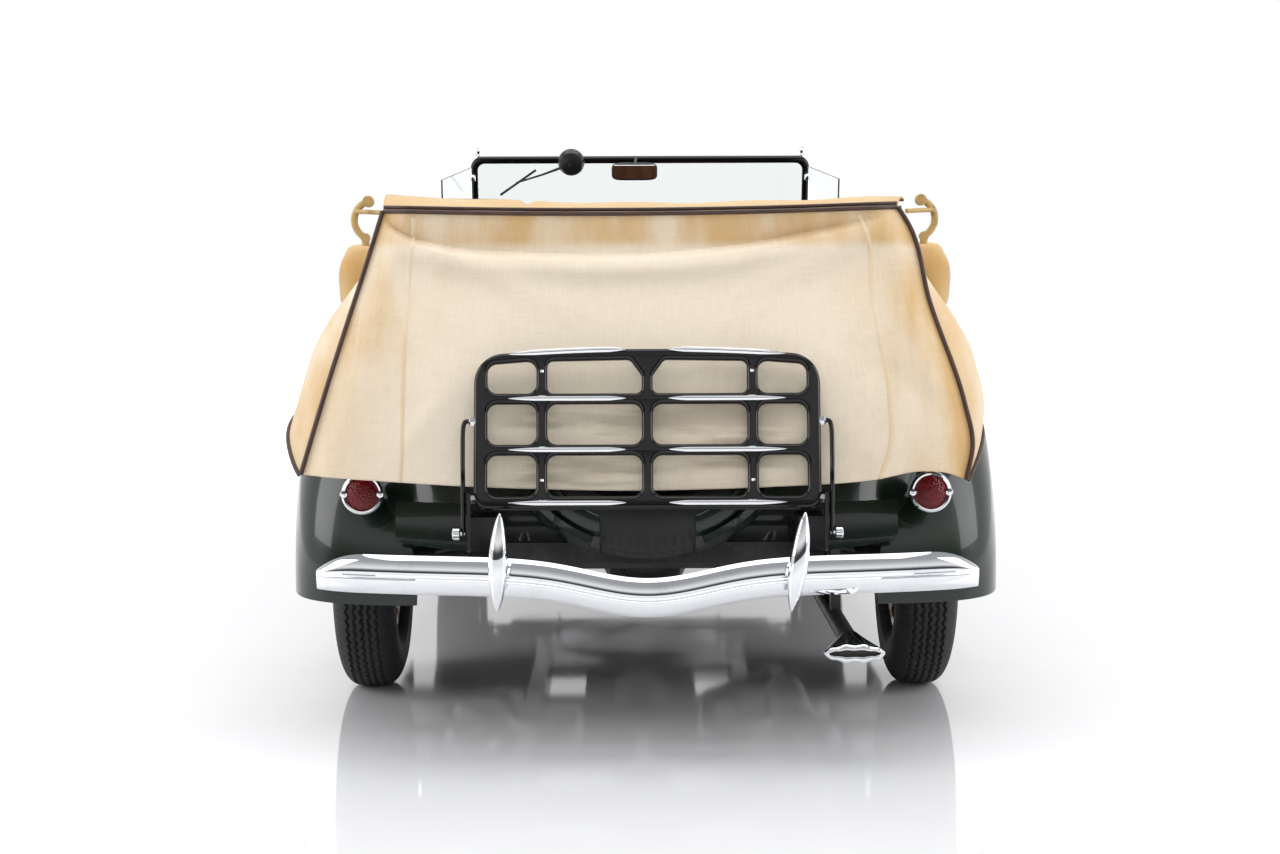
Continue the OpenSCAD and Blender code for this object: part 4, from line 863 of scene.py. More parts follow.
def hood(side):
    """Hood half hinged on the middle rod: its section carried along the car, two rows of louvres as a
    slanted saw-tooth wave, knuckles on the rod and bright strips."""
    name = "left" if side < 0 else "right"
    i, t = params(300 // DENSE, 84 // DENSE)
    y = mix(COWL_Y + 6, NOSE_Y, i)
    p = hood_section(y, t, HOOD_LOW_Z)
    p[..., 0] = np.maximum(8, p[..., 0])
    z = p[..., 2]
    start, end = LOUVRE_ENDS
    slot = np.mod((y - start + 0.25 * (z - 850)) / LOUVRE_STEP, 1)
    inside = ease((y - start) / 12) * ease((end - y) / 12)
    row = sum(ease((z - low) / 8) * ease((high - z) / 8) for low, high in LOUVRE_ROWS)
    on_side = t < 0.62
    p[..., 0] += LOUVRE_DEPTH * inside * row * on_side * (1 - slot) ** 0.7 * ease(slot / 0.12)
    half = Shape().wall(p, SHEET)
    for share in ((0.1, 0.6) if side > 0 else (0.355, 0.85)):
        y0 = mix(COWL_Y, NOSE_Y, share)
        ends = np.array([(0, y0 + d, hood_heights(nose_share(y0 + d))[1]) for d in (0, 66)])
        way = ends[1] - ends[0]
        half.turned([(5.3, 0), (7.5, 0), (7.5, 66), (5.3, 66), (5.3, 0)], ends[0], way, 20)
        half.block((6, y0 + 2, ends[0][2] - 9), (24, y0 + 64, ends[0][2] - 4), 1)
    ys = np.linspace(COWL_Y + 8, NOSE_Y - 2, 60)
    bead(half, hood_section(ys, np.full(60, 0.44), HOOD_LOW_Z), 4)
    half.handed(side)
    half.make("hood_skin_" + name, BODY_PAINT, name + "_hood_half", "body_paint", ["hood_" + name])
    trims = Shape()
    ys = np.linspace(1900, 2740, 50)
    for height in (826.0, 922.0, 730.0):
        strip = surface_at(ys, height)
        trims.tube(strip, 4.2 * np.sin(np.pi * np.linspace(0.02, 0.98, 50)) ** 0.25, 10)
    trims.handed(side)
    trims.make("hood_trim_" + name, CHROME, name + "_hood_half", "bright_trim")


def surface_at(y, height):
    """Points of the hood's outer surface at one height along stations y: the side below the crown line, the
    superellipse above it."""
    crown, top, power = hood_heights(nose_share(y))
    rise = np.clip((height - crown) / (top - crown), 0, 0.99)
    x = hood_x(y, np.minimum(height, crown)) * (1 - rise ** power) ** (1 / power)
    return points(x + 1.5, y, height)


def nose():
    """Aprons under the hood, and the shell that blends the hood's front section into the grille's rim."""
    i, k = params(60, 14)
    y = mix(COWL_Y + 2, NOSE_Y, i)
    x = hood_x(y, APRON_TOP_Z)
    low = np.maximum(x, 422)
    aprons = Shape().wall(points(mix(low, x, ease(k / 0.47)), y, mix(556, 694, k)), SHEET).both_sides()
    aprons.make("hood_aprons_skin", BODY_PAINT, slot="body_paint", stands_for=["hood_aprons"])
    k, t = params(24, 70)
    over = 0.45 + 0.55 * np.clip((t - 0.4) / 0.6, 0, 1) ** 1.25
    cheek = points(hood_x(NOSE_Y, 600.0) - 60 * (1 - t / 0.4), NOSE_Y + 8, mix(470, 775, t / 0.4))
    brow = hood_section(np.full_like(t, NOSE_Y), over, HOOD_LOW_Z) + (0, 8, 0)
    back = np.where((t < 0.4)[..., None], cheek, brow)
    x_low = mix(64, 170, np.clip(t / 0.55, 0, 1) ** 0.9)
    x_high = 170 * np.cos(np.pi / 2 * np.clip((t - 0.55) / 0.45, 0, 1))
    z = np.where(t < 0.55, through(x_low, [0, 60, 115, 160, 170], [440, 445, 560, 760, 880]),
                 through(x_high, [0, 70, 130, 160, 170], [1076, 1064, 1030, 960, 880]))
    rim = points(np.where(t < 0.55, x_low + 4, x_high + 4 * (1 - t) / 0.45),
                 WHEELBASE + mix(215, 90, (z - 440) / 640), z + np.where(t < 0.55, 0, 4))
    swell = np.sin(np.pi * k)[..., None] * points(10 * (1 - t), 0, 8 * t)
    grid = back + (rim - back) * k[..., None] + swell
    shell = Shape().wall(full_width(grid), SHEET)
    shell.make("grille_shell_skin", BODY_PAINT, slot="body_paint", stands_for=["grille_shell"])
    edge = full_width(rim)[0] + (0, 3, 0)
    Shape().tube(edge, 5, 12, up=(0, 1, 0)).make("grille_surround", CHROME, slot="bright_trim")


def lower_panels():
    """Splash pan under the tail, bent in towards its lower edge; a curved apron ahead of the grille,
    between the rails; and aprons that sweep from the body sides down to the running boards."""
    k, u = params(16, 60, 0, 1, -1, 1)
    low = 442 + 34 * np.abs(u) ** 3
    z = mix(572, low, k)
    y = tail_y(572.0) + 26 + 40 * np.abs(u) ** 3.5 - 21.7 * (1 - (1 - k) ** 2)
    Shape().wall(points(612 * u, y, z), 3.0).make("tail_pan", BODY_PAINT, slot="body_paint")
    z = 456 - 30 * k ** 3 - 10 * (1 - u * u) * k
    y = mix(2925, 3290 + 36 * (1 - u * u), k)
    Shape().wall(points(361 * u, y, z), 2.5).make("front_apron", BODY_PAINT, slot="body_paint")
    k, i = params(12, 70)
    y = mix(510.0, 1984.0, i)
    top_x = np.where(y < COWL_Y, hood_x(y, DOOR_LOW_Z), hood_x(y, APRON_TOP_Z)) - 14
    top_z = 472 + 84 * ease((y - 1770) / 60)
    x = mix(664, np.maximum(top_x, 424), ease(k))
    apron = points(x, y, mix(393, top_z, k ** 1.4))
    Shape().wall(apron, 2.0).both_sides().make("board_aprons", BODY_PAINT, slot="body_paint")


# Fenders, lamps and running boards

# Front fender: heights of its crest, tip, end and root, the crest's place ahead of the axle, and the top
# line's reach ahead of the crest and behind it.
FENDER_TOP_Z = 900
FENDER_TIP_Z = 335
FENDER_END_Z = 392
FENDER_ROOT_Z = 686
FENDER_CREST = 40
FENDER_AHEAD = 490
FENDER_BEHIND = 900
FENDER_OUT_X = 875
# Lip of all fenders round the axle, and the rear fender's outer line at its front and at the tail.
FENDER_LIP_R = 400
REAR_FENDER_R = 505
REAR_FENDER_TAIL_R = 650
HALF_WIDTH = 890


def front_fender_point(d, t):
    """Front fender: d forward of the axle, t from its inner edge (0) over the crown (0.5) to the lip (1).
    The top line is a quarter ellipse ahead and half a cosine wave behind. The section is half a cosine wave
    up to the crown, then a quarter superellipse down to the lip."""
    ahead = np.clip((d - FENDER_CREST) / FENDER_AHEAD, 0, 1)
    top = np.where(d > FENDER_CREST, mix(FENDER_TIP_Z, FENDER_TOP_Z, np.sqrt(1 - ahead ** 2)),
                   mix(FENDER_END_Z, FENDER_TOP_Z, 1 - wave_ramp((FENDER_CREST - d) / FENDER_BEHIND)))
    arch = AXLE_Z + np.sqrt(np.maximum(0, FENDER_LIP_R ** 2 - d * d))
    past = np.abs(d) - FENDER_LIP_R
    ends = np.where(d > 0, mix(AXLE_Z, FENDER_TIP_Z, past / 130), mix(AXLE_Z, 370, past / 460))
    lip = np.minimum(np.where(past < 0, arch, ends), top - 1)
    x_in = np.where(d > FENDER_CREST, mix(216, 435, ahead ** 1.5),
                    np.maximum(hood_x(WHEELBASE + d, APRON_TOP_Z) + 1, 434 * wave_ramp((-d - 320) / 190)))
    x_out = FENDER_OUT_X - 90 * (np.maximum(d, 0) / (FENDER_CREST + FENDER_AHEAD)) ** 3
    x_top = mix(x_in, x_out, 0.62)
    a = np.pi * np.clip(t - 0.5, 0, 0.5)
    inner = t < 0.5
    x = np.where(inner, mix(x_in, x_top, 2 * t), mix(x_top, x_out, np.sin(a) ** 0.8))
    z = np.where(inner, mix(np.minimum(FENDER_ROOT_Z, top - 2), top, wave_ramp(2 * t)),
                 mix(lip, top, np.abs(np.cos(a)) ** 0.8))
    return points(x, WHEELBASE + d, z)


def rear_fender_point(a, f):
    """Rear fender: a round the axle from its front end over the top to the tail, f from the body out to the
    lip. The section is a quarter superellipse that grows along half a cosine wave towards the tail."""
    outer = mix(REAR_FENDER_R, REAR_FENDER_TAIL_R, wave_ramp((a - np.pi / 2) / (np.pi / 2)))
    r = mix(FENDER_LIP_R, outer, np.abs(np.cos(f)) ** 0.84)
    y, z = r * np.cos(a), AXLE_Z + r * np.sin(a)
    zb = np.maximum(z, DOOR_LOW_Z)
    s = np.clip((CORNER_Y - y) / (CORNER_Y - tail_y(zb)), 0, 1)
    corner = np.maximum(560, side_x(CORNER_Y, zb) * (1 - s ** 3) ** (1 / 3)) + 3.5
    at_body = np.where(y > CORNER_Y, side_x(y, zb) + 0.3, corner)
    return points(mix(at_body, HALF_WIDTH, np.sin(f) ** 0.84), y, z)


LAMP_AT = (400.0, 3070.0, 872.0)
LENS_AT = (692.0, -700.0, 592.0)


def front_fenders():
    """Front fenders with rolled lips: stations spaced by a cosine over the arch, and a turned lamp bucket
    on a stem."""
    steps = np.concatenate([np.linspace(526, 400, 30), 400 * np.cos(np.linspace(0, np.pi, 110))[1:-1],
                            np.linspace(-400, -860, 50)])[:, None]
    t = np.linspace(0, 1, 52)[None, :]
    grid = front_fender_point(steps, t)
    front = Shape().wall(grid, SHEET)
    front.tube(grid[:, -1] - (4, 0, -3), 5, 8, up=(1, 0, 0))
    x, y, z = LAMP_AT
    front.turned([(0, -160), (18, -157), (34, -147), (62, -112), (84, -62), (97, -10), (101, 30), (101, 80),
                  (93, 80), (93, 20), (60, -20), (0, -40)], LAMP_AT, (0, 1, 0), 60)
    rise = np.linspace(0, 1, 8)
    front.tube(points(mix(x + 14, x, rise), y - 40, mix(z - 150, z - 60, rise)), mix(40, 26, rise), 20,
               up=(0, 1, 0))
    front.both_sides().make("front_fender_skin", BODY_PAINT, slot="body_paint",
                            stands_for=["front_fenders"])


def rear_fenders():
    """Rear fenders with rolled lips, and a turned tail-lamp housing on a curved arm."""
    a, f = params(110, 44, math.radians(-5), math.radians(184), 0, np.pi / 2)
    grid = rear_fender_point(a, f)
    rear = Shape().wall(grid, -SHEET)
    rear.tube(grid[:, -1] - (4, 0, 0), 5, 8, up=(1, 0, 0))
    rear.tube(grid[:, 0] + (1, 0, 0), 4, 8, up=(1, 0, 0))
    x, y, z = LENS_AT
    rear.turned([(0, 110), (10, 106), (18, 96), (36, 62), (45, 20), (47, 8), (46, 0), (0, 0)], LENS_AT,
                (0, 1, 0), 40)
    reach = np.linspace(0, 1, 10)
    rear.tube(points(x + 5 + 15 * reach, mix(y + 40, -585, reach), z - 60 * reach ** 1.5),
              mix(14, 20, reach), 16)
    rear.both_sides().make("rear_fender_skin", BODY_PAINT, slot="body_paint", stands_for=["rear_fenders"])


def headlamps():
    """Headlamps: turned rim, bowl and bulb, and a lens bowed by a parabola."""
    x, y, z = LAMP_AT
    face = (x, y + 80, z)
    rims = Shape().turned([(92, -30), (98, 0), (108, 0), (109, 6), (106, 13), (97, 20), (93, 18), (92, 8),
                           (92, -30)], face, (0, 1, 0), 72)
    rims.turned([(0, -96), (20, -94), (45, -80), (70, -52), (91, -4), (89, -4), (68, -50), (44, -77),
                 (20, -91), (0, -93)], face, (0, 1, 0), 60)
    rims.turned([(0, -60), (9, -58), (11, -44), (7, -34), (0, -32)], face, (0, 1, 0), 20)
    rims.both_sides().make("headlamp_rims", CHROME, slot="bright_trim", stands_for=["headlamps"])
    s = np.linspace(1, 0, 14)
    outer = np.column_stack([92 * s, 14 + 20 * (1 - s * s)])
    lens = np.concatenate([outer, outer[::-1] - (0, 5)])
    glass = Shape().turned(lens, face, (0, 1, 0), 60).both_sides()
    glass.make("headlamp_glass", LAMP_GLASS, slot="lamp_glass")


def tail_lamps():
    """Tail lamps: turned bezel with an ear and a screw at each side, and a domed red lens."""
    bezel = Shape().turned([(40, 0), (51, 0), (52, 4), (50, 10), (46, 13), (42, 12), (40, 8), (40, 0)],
                           LENS_AT, (0, -1, 0), 64)
    x, y, z = LENS_AT
    for way in (-1, 1):
        bezel.turned([(0, 2), (10, 2), (10, 10), (8, 13), (0, 14)], (x + way * 44, y, z), (0, -1, 0), 24)
        bezel.turned([(0, 13), (4.5, 13), (4, 16), (0, 17)], (x + way * 44, y, z), (0, -1, 0), 12)
    bezel.both_sides().make("tail_lamp_bezels", CHROME, slot="bright_trim", stands_for=["tail_lamps"])
    s = np.linspace(1, 0, 16)
    dome = np.column_stack([40.4 * s, 8 + 11 * (1 - s ** 2.5)])
    lens = Shape().turned(np.concatenate([dome, [(0, 3), (40.4, 3), (40.4, 8)]]), LENS_AT, (0, -1, 0), 56)
    lens.both_sides().make("tail_lamp_lenses", RED_GLASS, slot="red_glass", stands_for=["tail_lenses"])


def boards():
    """Rubber on the running boards with sixteen cosine ribs, and a bright strip along each outer edge."""
    i, j = params(2, 330)
    y = mix(512, 1980, i)
    x = mix(668, 856, j)
    ribs = 3.2 * (0.5 + 0.5 * np.cos(2 * np.pi * j * 16)) * ease(np.minimum(j, 1 - j) / 0.01)
    top = points(x, y, 392.9 + ribs)
    rubber = Shape().wall(top, -0.8).both_sides()
    rubber.make("board_rubber", MAT_RUBBER, slot="tyre")
    ys = np.linspace(510, 1982, 40)
    strip = Shape().tube(points(866, ys, 384), 7, 12).both_sides()
    strip.make("board_strips", CHROME, slot="bright_trim")


# Rack and bumpers

HINGE_Y = -985.0
HINGE_Z = 606.0
RACK_LEAN = math.radians(12)


def rack_place(p):
    """From the rack's own plane (across, height, depth to the rear) to the car, leaning forward."""
    back, up = -p[..., 2], p[..., 1] - 20
    return points(p[..., 0], HINGE_Y + back * math.cos(RACK_LEAN) + up * math.sin(RACK_LEAN),
                  HINGE_Z - back * math.sin(RACK_LEAN) + up * math.cos(RACK_LEAN))


def rounded(corners, radius, steps=7):
    """Closed outline with each corner turned into an arc of its radius."""
    p = np.asarray(corners, float)
    a, b = unit(np.roll(p, 1, 0) - p), unit(np.roll(p, -1, 0) - p)
    half = np.arccos(np.clip((a * b).sum(1), -1, 1)) / 2
    r = np.broadcast_to(np.asarray(radius, float), len(p))
    middle = p + unit(a + b) * (r / np.sin(half))[:, None]
    reach = (r / np.tan(half))[:, None]
    s = np.linspace(0, 1, steps)[None, :, None]
    turn = (np.pi - 2 * half)[:, None, None]
    first, last = (p + a * reach - middle)[:, None], (p + b * reach - middle)[:, None]
    return (middle[:, None]
            + (np.sin((1 - s) * turn) * first + np.sin(s * turn) * last) / np.sin(turn)).reshape(-1, 2)


def flat_plate(name, outlines, thick, edge, place):
    """Mesh of a filled flat curve with rounded edges: outlines in millimetres, thickness, edge radius, and
    the function that takes its plane to the car."""
    curve = bpy.data.curves.new(name, "CURVE")
    curve.dimensions = "2D"
    curve.fill_mode = "BOTH"
    curve.bevel_depth = edge * MM
    curve.bevel_resolution = 4
    curve.extrude = (thick / 2 - edge) * MM
    curve.offset = -edge * MM
    for outline in outlines:
        spline = curve.splines.new("POLY")
        spline.points.add(len(outline) - 1)
        flat = np.column_stack([outline * MM, np.zeros(len(outline)), np.ones(len(outline))])
        spline.points.foreach_set("co", flat.astype(np.float32).ravel())
        spline.use_cyclic_u = True
    source = bpy.data.objects.new(name + "_outline", curve)
    bpy.context.scene.collection.objects.link(source)
    bpy.context.view_layer.update()
    mesh = bpy.data.meshes.new_from_object(source.evaluated_get(bpy.context.evaluated_depsgraph_get()))
    bpy.data.objects.remove(source)
    write(mesh, to_frame(place(read(mesh).astype(float) / MM)))
    bm = bmesh.new()
    bm.from_mesh(mesh)
    bmesh.ops.remove_doubles(bm, verts=bm.verts, dist=1e-6)
    bmesh.ops.recalc_face_normals(bm, faces=bm.faces)
    bm.to_mesh(mesh)
    bm.free()
    mesh.name = name
    return bpy.data.objects.new(name, mesh)


RACK_COLS = [-403, -245, 0, 245, 403]
RACK_ROWS = [0, 121, 241, 362]
RACK_BAR = 26
RACK_EDGE = 32
SPEAR_X = (50.0, 322.0)


def rack_grid():
    """Cast luggage grid: a flat plate with a crowned top rail and three rows of four rounded windows, the
    middle two of the top row cut off by a gusset."""
    outlines = [rounded([(-403, -6), (403, -6), (403, 357), (180, 371.5), (-180, 371.5), (-403, 357)],
                        [34, 34, 70, 500, 500, 70], 12)]
    for i in range(4):
        x0 = RACK_COLS[i] + (RACK_EDGE if i == 0 else RACK_BAR // 2)
        x1 = RACK_COLS[i + 1] - (RACK_EDGE if i == 3 else RACK_BAR // 2)
        for j in range(3):
            z0 = RACK_ROWS[j] + RACK_BAR
            z1 = RACK_ROWS[j + 1] - (0 if j < 2 else 16)
            if j == 2 and i in (0, 3):
                corners = [(x0, z0), (x1, z0), (x1, z1 - (12 if i == 3 else 3)),
                           (x0, z1 - (12 if i == 0 else 3))]
            elif j == 2 and i == 1:
                corners = [(x0, z0), (x1, z0), (x1, z1 - 38), (x1 - 27, z1 - 1), (x0, z1 - 4)]
            elif j == 2:
                corners = [(x0, z0), (x1, z0), (x1, z1 - 4), (x0 + 27, z1 - 1), (x0, z1 - 38)]
            else:
                corners = [(x0, z0), (x1, z0), (x1, z1), (x0, z1)]
            outlines.append(rounded(corners, 14 if len(corners) == 5 else 22))
    plate = flat_plate("rack_grid", outlines, 24, 10.5, rack_place)
    dress(plate, GLOSS_BLACK, "rack", ["luggage_rack"], 50)


def rack_fittings():
    """Bright spears that taper to both ends along the rack's bars, studs, bent stays and turned knobs."""
    spears = Shape()
    s = np.linspace(0, 1, 40)
    for row, height in enumerate((10.0, 134.0, 254.0, 357.0)):
        x = mix(*SPEAR_X, s)
        crown = 12 * (1 - (x / 333) ** 2) if row == 3 else 0
        line = rack_place(points(x, height + crown, 12.3))
        taper = np.clip(np.minimum(s / 0.14, (1 - s) / 0.22), 0.02, 1) ** 0.6
        spears.tube(line, 6.5 * taper, 10, up=(0, 1, 0), flat=0.5)
    for height in (62.0, 318.0):
        spears.block((241, height - 3, 11), (249, height + 3, 14), 0.8)
        spears.points[-1] = rack_place(spears.points[-1])
    spears.both_sides().make("rack_spears", CHROME, "rack", "bright_trim")
    hinge = np.array([0, HINGE_Y, HINGE_Z])
    knots = np.array([(392, 38, 178), (412, 38, 179), (427, 37, 168), (428, 14, 100), (427, 2, 60),
                      (427, 0, -10), (427, 0, -84)])
    s = np.linspace(0, 6, 60)
    path = hinge + np.stack([through(s, range(7), knots[:, c]) for c in range(3)], 1)
    stays = Shape().tube(path, 5.5, 12, up=(0, 1, 0)).both_sides()
    stays.make("rack_stays", GLOSS_BLACK, "rack", "rack_black")
    knobs = Shape()
    for at, r in (((423, 0, -80), 15), ((423, 20, -80), 9)):
        knobs.turned([(0, 0), (5, 0), (5, 10), (r - 2, 11), (r, 13), (r, 27), (r - 2, 29), (r - 6, 30),
                      (0, 30)], hinge + np.array(at), (1, 0, 0), 18)
    for at in ((405, 38, 178), (404, 0, 0)):
        knobs.turned([(0, -6), (11, -6), (11, 6), (8, 9), (0, 10)], hinge + np.array(at), (1, 0, 0), 6)
    knobs.both_sides().make("rack_knobs", CHROME, "rack", "bright_trim")


BUMPER_Z = 437.0
GUARD_X = 340.0


def blade(name, half_len, bow, dip, y0, facing, stands_for):
    """Bumper blade: bowed in plan and dipped in the middle, its ends running down to the lower corner; a
    crowned upper face, two fine grooves and a broad lower face."""
    u, t = params(201, 41, -1, 1, -1, 1)
    x = half_len * u
    end = np.clip((np.abs(u) - 0.84) / 0.16, 0, 1)
    run = np.where(t > 0, t * (1 - 0.9 * end ** 2.4), t * (1 - 0.1 * end ** 3))
    z = BUMPER_Z - dip * np.exp(-(x / 190) ** 2) + 45 * run
    relief = 20 * (1 - np.abs(t) ** 2.4) - 2.6 * bump(t, 0.02, 0.045) - 2.6 * bump(t, -0.14, 0.045)
    y = y0 + facing * (relief * (1 - 0.4 * end ** 2) - bow * np.abs(u) ** 2.6)
    bar = Shape().wall(points(x, y, z), -5.0 * facing)
    bar.make(name, CHROME, slot="bright_trim", stands_for=[stands_for])


def guards(name, y0, z0, height, facing, leans):
    """Upright bumper guards, left and right with a lean in degrees each: slim spindles whose radius follows
    a sine, bolted through the blade."""
    both = Shape()
    s = np.linspace(0, 1, 48)
    for side, lean in zip((-1, 1), leans):
        x = side * GUARD_X + math.tan(math.radians(lean)) * height * (s - 0.5)
        path = points(x, y0 + facing * 14 * np.sin(np.pi * s), z0 + height * (s - 0.5))
        both.tube(path, 22 * np.sin(np.pi * np.clip(s, 0.004, 0.996)) ** 0.62, 24, up=(0, 1, 0), flat=0.95)
        both.turned([(0, 0), (13, 0), (13, 22), (0, 22)], (side * GUARD_X, y0 - facing * 4, BUMPER_Z),
                    (0, -facing, 0), 6)
    both.make(name, CHROME, slot="bright_trim")


# Wheels, tyres, spare and exhaust tip

TYRE_OFF = [-46, -50, -57, -75, -81, -78, -67, -54, -40, -20, 0, 20, 40, 54, 67, 78, 81, 75, 57, 50, 46]
TYRE_R = [205.5, 216.5, 220, 242, 275, 308, 333, 347, 354, 355.8, 356, 355.8, 354, 347, 333, 308, 275, 242,
          220, 216.5, 205.5]
GROOVES = (-38, -19, 0, 19, 38)


def tyre(name, at, axis, body, node):
    """Tyre turned from its section: five zigzag grooves round the tread, cross bars on the shoulders and
    raised rings on the walls."""
    s = np.linspace(0, 20, 116 // DENSE)[:, None]
    a = np.linspace(0, 2 * np.pi, 400 // DENSE, endpoint=False)[None, :]
    off, r = through(s, range(21), TYRE_OFF), through(s, range(21), TYRE_R)
    zig = 3.4 * (4 * np.abs(np.mod(a * 80 / (2 * np.pi), 1) - 0.5) - 1)
    tread = ease((r - 346) / 6)
    cut = sum(ease((3.6 - np.abs(off - g - zig)) / 1.6) for g in GROOVES)
    r = r - 6.5 * np.clip(cut, 0, 1) * tread
    shoulder = bump(np.abs(off), 63, 11) * (r > 300)
    r = r - 5 * shoulder * ease((np.cos(a * 100) - 0.35) / 0.3)
    off = off + np.sign(off) * 1.6 * (bump(r, 300, 2.2) + bump(r, 246, 2.2))
    b, c, ax = axes(axis)
    ring = r[..., None] * (np.cos(a)[..., None] * b + np.sin(a)[..., None] * c) + off[..., None] * ax
    rubber = Shape().grid(np.asarray(at, float) + ring, loop_cols=True, loop_rows=True)
    rubber.make(name, RUBBER, body, "tyre", [node], 30)


def wheel_bright(tag, at, way, body):
    """Bright hub cap with a rolled edge and a trim ring, both turned round the axle."""
    cap = Shape().turned([(97, 30), (98, 38), (95, 43), (88, 45), (76, 55), (58, 62), (50, 66), (36, 67),
                          (30, 69), (0, 70)], at, (way, 0, 0), 64)
    cap.turned([(176, 22), (180, 23), (203, 34), (206, 47), (217, 51), (218, 56), (211, 57), (199, 52),
                (197, 36), (176, 24), (176, 22)], at, (way, 0, 0), 80)
    cap.make("hub_cap_" + tag, CHROME, body, "bright_trim")


FRONT_HALF_TRACK = 705.0
REAR_HALF_TRACK = 740.0
SPARE_Z = 800.0
SPARE_OFF = 91.0
SPARE_AT = (0.0, float(tail_y(SPARE_Z)) - SPARE_OFF / math.cos(TAIL_LEAN), SPARE_Z)
SPARE_AXIS = (0.0, -math.cos(TAIL_LEAN), math.sin(TAIL_LEAN))
COVER_GAP = 114.0
COVER_END = 2.2


def wheels():
    """Tyre, hub cap and trim ring at each corner, and the spare's tyre on the leaning tail."""
    for end, x, y in (("front", FRONT_HALF_TRACK, WHEELBASE), ("rear", REAR_HALF_TRACK, 0.0)):
        for way, side in ((-1, "left"), (1, "right")):
            tag, body = end + "_" + side, side + "_" + end + "_wheel"
            tyre("tyre_tread_" + tag, (way * x, y, AXLE_Z), (way, 0, 0), body, "tyre_" + tag)
            wheel_bright(tag, (way * x, y, AXLE_Z), way, body)
    tyre("spare_tread", SPARE_AT, SPARE_AXIS, "chassis", "spare_tyre")


def spare_cover():
    """Painted band round the lower part of the spare: the tyre's own section from wall to wall held 4 mm
    off it, with beaded rims, open at the bottom where the tread shows; a wire pull hangs at one end."""
    s, t = params(36, 60, 4.6, 15.4)
    off, r = 1.04 * through(s, range(21), TYRE_OFF), through(s, range(21), TYRE_R)
    r = r + 4 * ease((r - 300) / 45)
    axis, across = np.array(SPARE_AXIS), np.array([1.0, 0.0, 0.0])
    down = np.cross(across, axis)
    down *= -np.sign(down[2])
    a = mix(np.arcsin(COVER_GAP / r), COVER_END, t)[..., None]
    sheet = SPARE_AT + r[..., None] * (np.cos(a) * down + np.sin(a) * across) + off[..., None] * axis
    band = Shape().wall(sheet, 1.5)
    for rim in (sheet[0], sheet[-1], sheet[:, 0]):
        band.tube(rim, 2.4, 8, up=axis)
    band.both_sides().make("spare_cover", BODY_PAINT, slot="body_paint")
    corner = sheet[len(sheet) // 2, 0]
    turn = np.linspace(0, 2 * np.pi, 24, endpoint=False)[:, None]
    loop = corner + 8 * down + 9 * (np.cos(turn) * across + np.sin(turn) * down)
    Shape().tube(loop, 1.6, 8, up=axis, loop=True).make("cover_pull", IRON, slot="iron")


TIP_KNOTS = [0, 1, 1.25, 1.5, 1.75, 2, 3]


def exhaust_tip():
    """Flattened fishtail end of the exhaust: a sleeve that widens from round to oval, then a fluted lip
    rolled in to a narrow slot."""
    s, a = params(60, 96, 0, 3, 0, 2 * np.pi * 95 / 96)
    wide = np.interp(s, TIP_KNOTS, [28, 70, 69, 66, 62, 59, 57])
    flutes = 1 + 0.1 * ease(s - 0.4) * np.cos(10 * a)
    high = np.interp(s, TIP_KNOTS, [28, 22, 20.5, 16.5, 11.5, 8, 7]) * flutes
    y = np.interp(s, TIP_KNOTS, [-984, -1094, -1101, -1105, -1106, -1104, -1092])
    ring = points(469 + wide * np.cos(a), y, np.interp(s, [0, 1], [269, 262]) + high * np.sin(a))
    Shape().grid(ring, loop_cols=True).make("exhaust_tip", CHROME, slot="bright_trim")


# Folded roof under the cover, side rolls and hooked irons

def roof_stack():
    """Stack of folded canvas: a closed section with five fold lips, carried across the car with slow waves,
    and capped at both ends."""
    a, u = params(120, 90, 0, 2 * np.pi * 119 / 120, -1, 1)
    lips = 1 + 0.05 * np.cos(5 * a + 0.8) * (np.cos(a) > -0.4)
    y = -592 + 112 * lips * bend(np.cos(a), 0.6) + 4 * np.sin(9 * u)
    z = 1218 + 62 * lips * bend(np.sin(a), 0.6) * (1 - 0.1 * u * u) + 3 * np.sin(7 * u + 1)
    grid = points(598 * u, y, z)
    roll = Shape().grid(grid, loop_rows=True)
    for ring in (grid[:, 0], grid[:, -1]):
        roll.grid(np.stack([ring, np.broadcast_to(ring.mean(0), ring.shape)]), loop_cols=True)
    stack = roll.make("roof_stack", ROLL_CANVAS, slot="canvas", stands_for=["top_stack"])
    tint_of(stack, 0.5)


def side_rolls():
    """Rolled canvas at both sides: a squared-off ellipsoid, lower towards its front, creased on its outer
    face and drawn in at the bottom."""
    v, u = params(44, 72, -np.pi / 2, np.pi / 2, 0, 2 * np.pi * 71 / 72)
    belt = bend(np.cos(v), 2 / 3.2)
    x = 722 + 62 * belt * bend(np.cos(u), 2 / 2.6)
    y = -285 + 130 * belt * bend(np.sin(u), 2 / 4)
    z = 1094 + 108 * bend(np.sin(v), 2 / 3.4)
    z = z - 26 * ease((y + 300) / 150) * ease((z - 1060) / 90)
    x = (x + 4 * np.sin((y + z) / 23) * ease((x - 700) / 40)
         - 10 * ease((1060 - z) / 80) * ease((x - 720) / 40))
    for side, name in ((-1, "left"), (1, "right")):
        roll = Shape().grid(points(side * x, y, z), loop_cols=True)
        pad = roll.make("side_roll_" + name, ROLL_CANVAS, slot="canvas")
        tint_of(pad, 0.7)


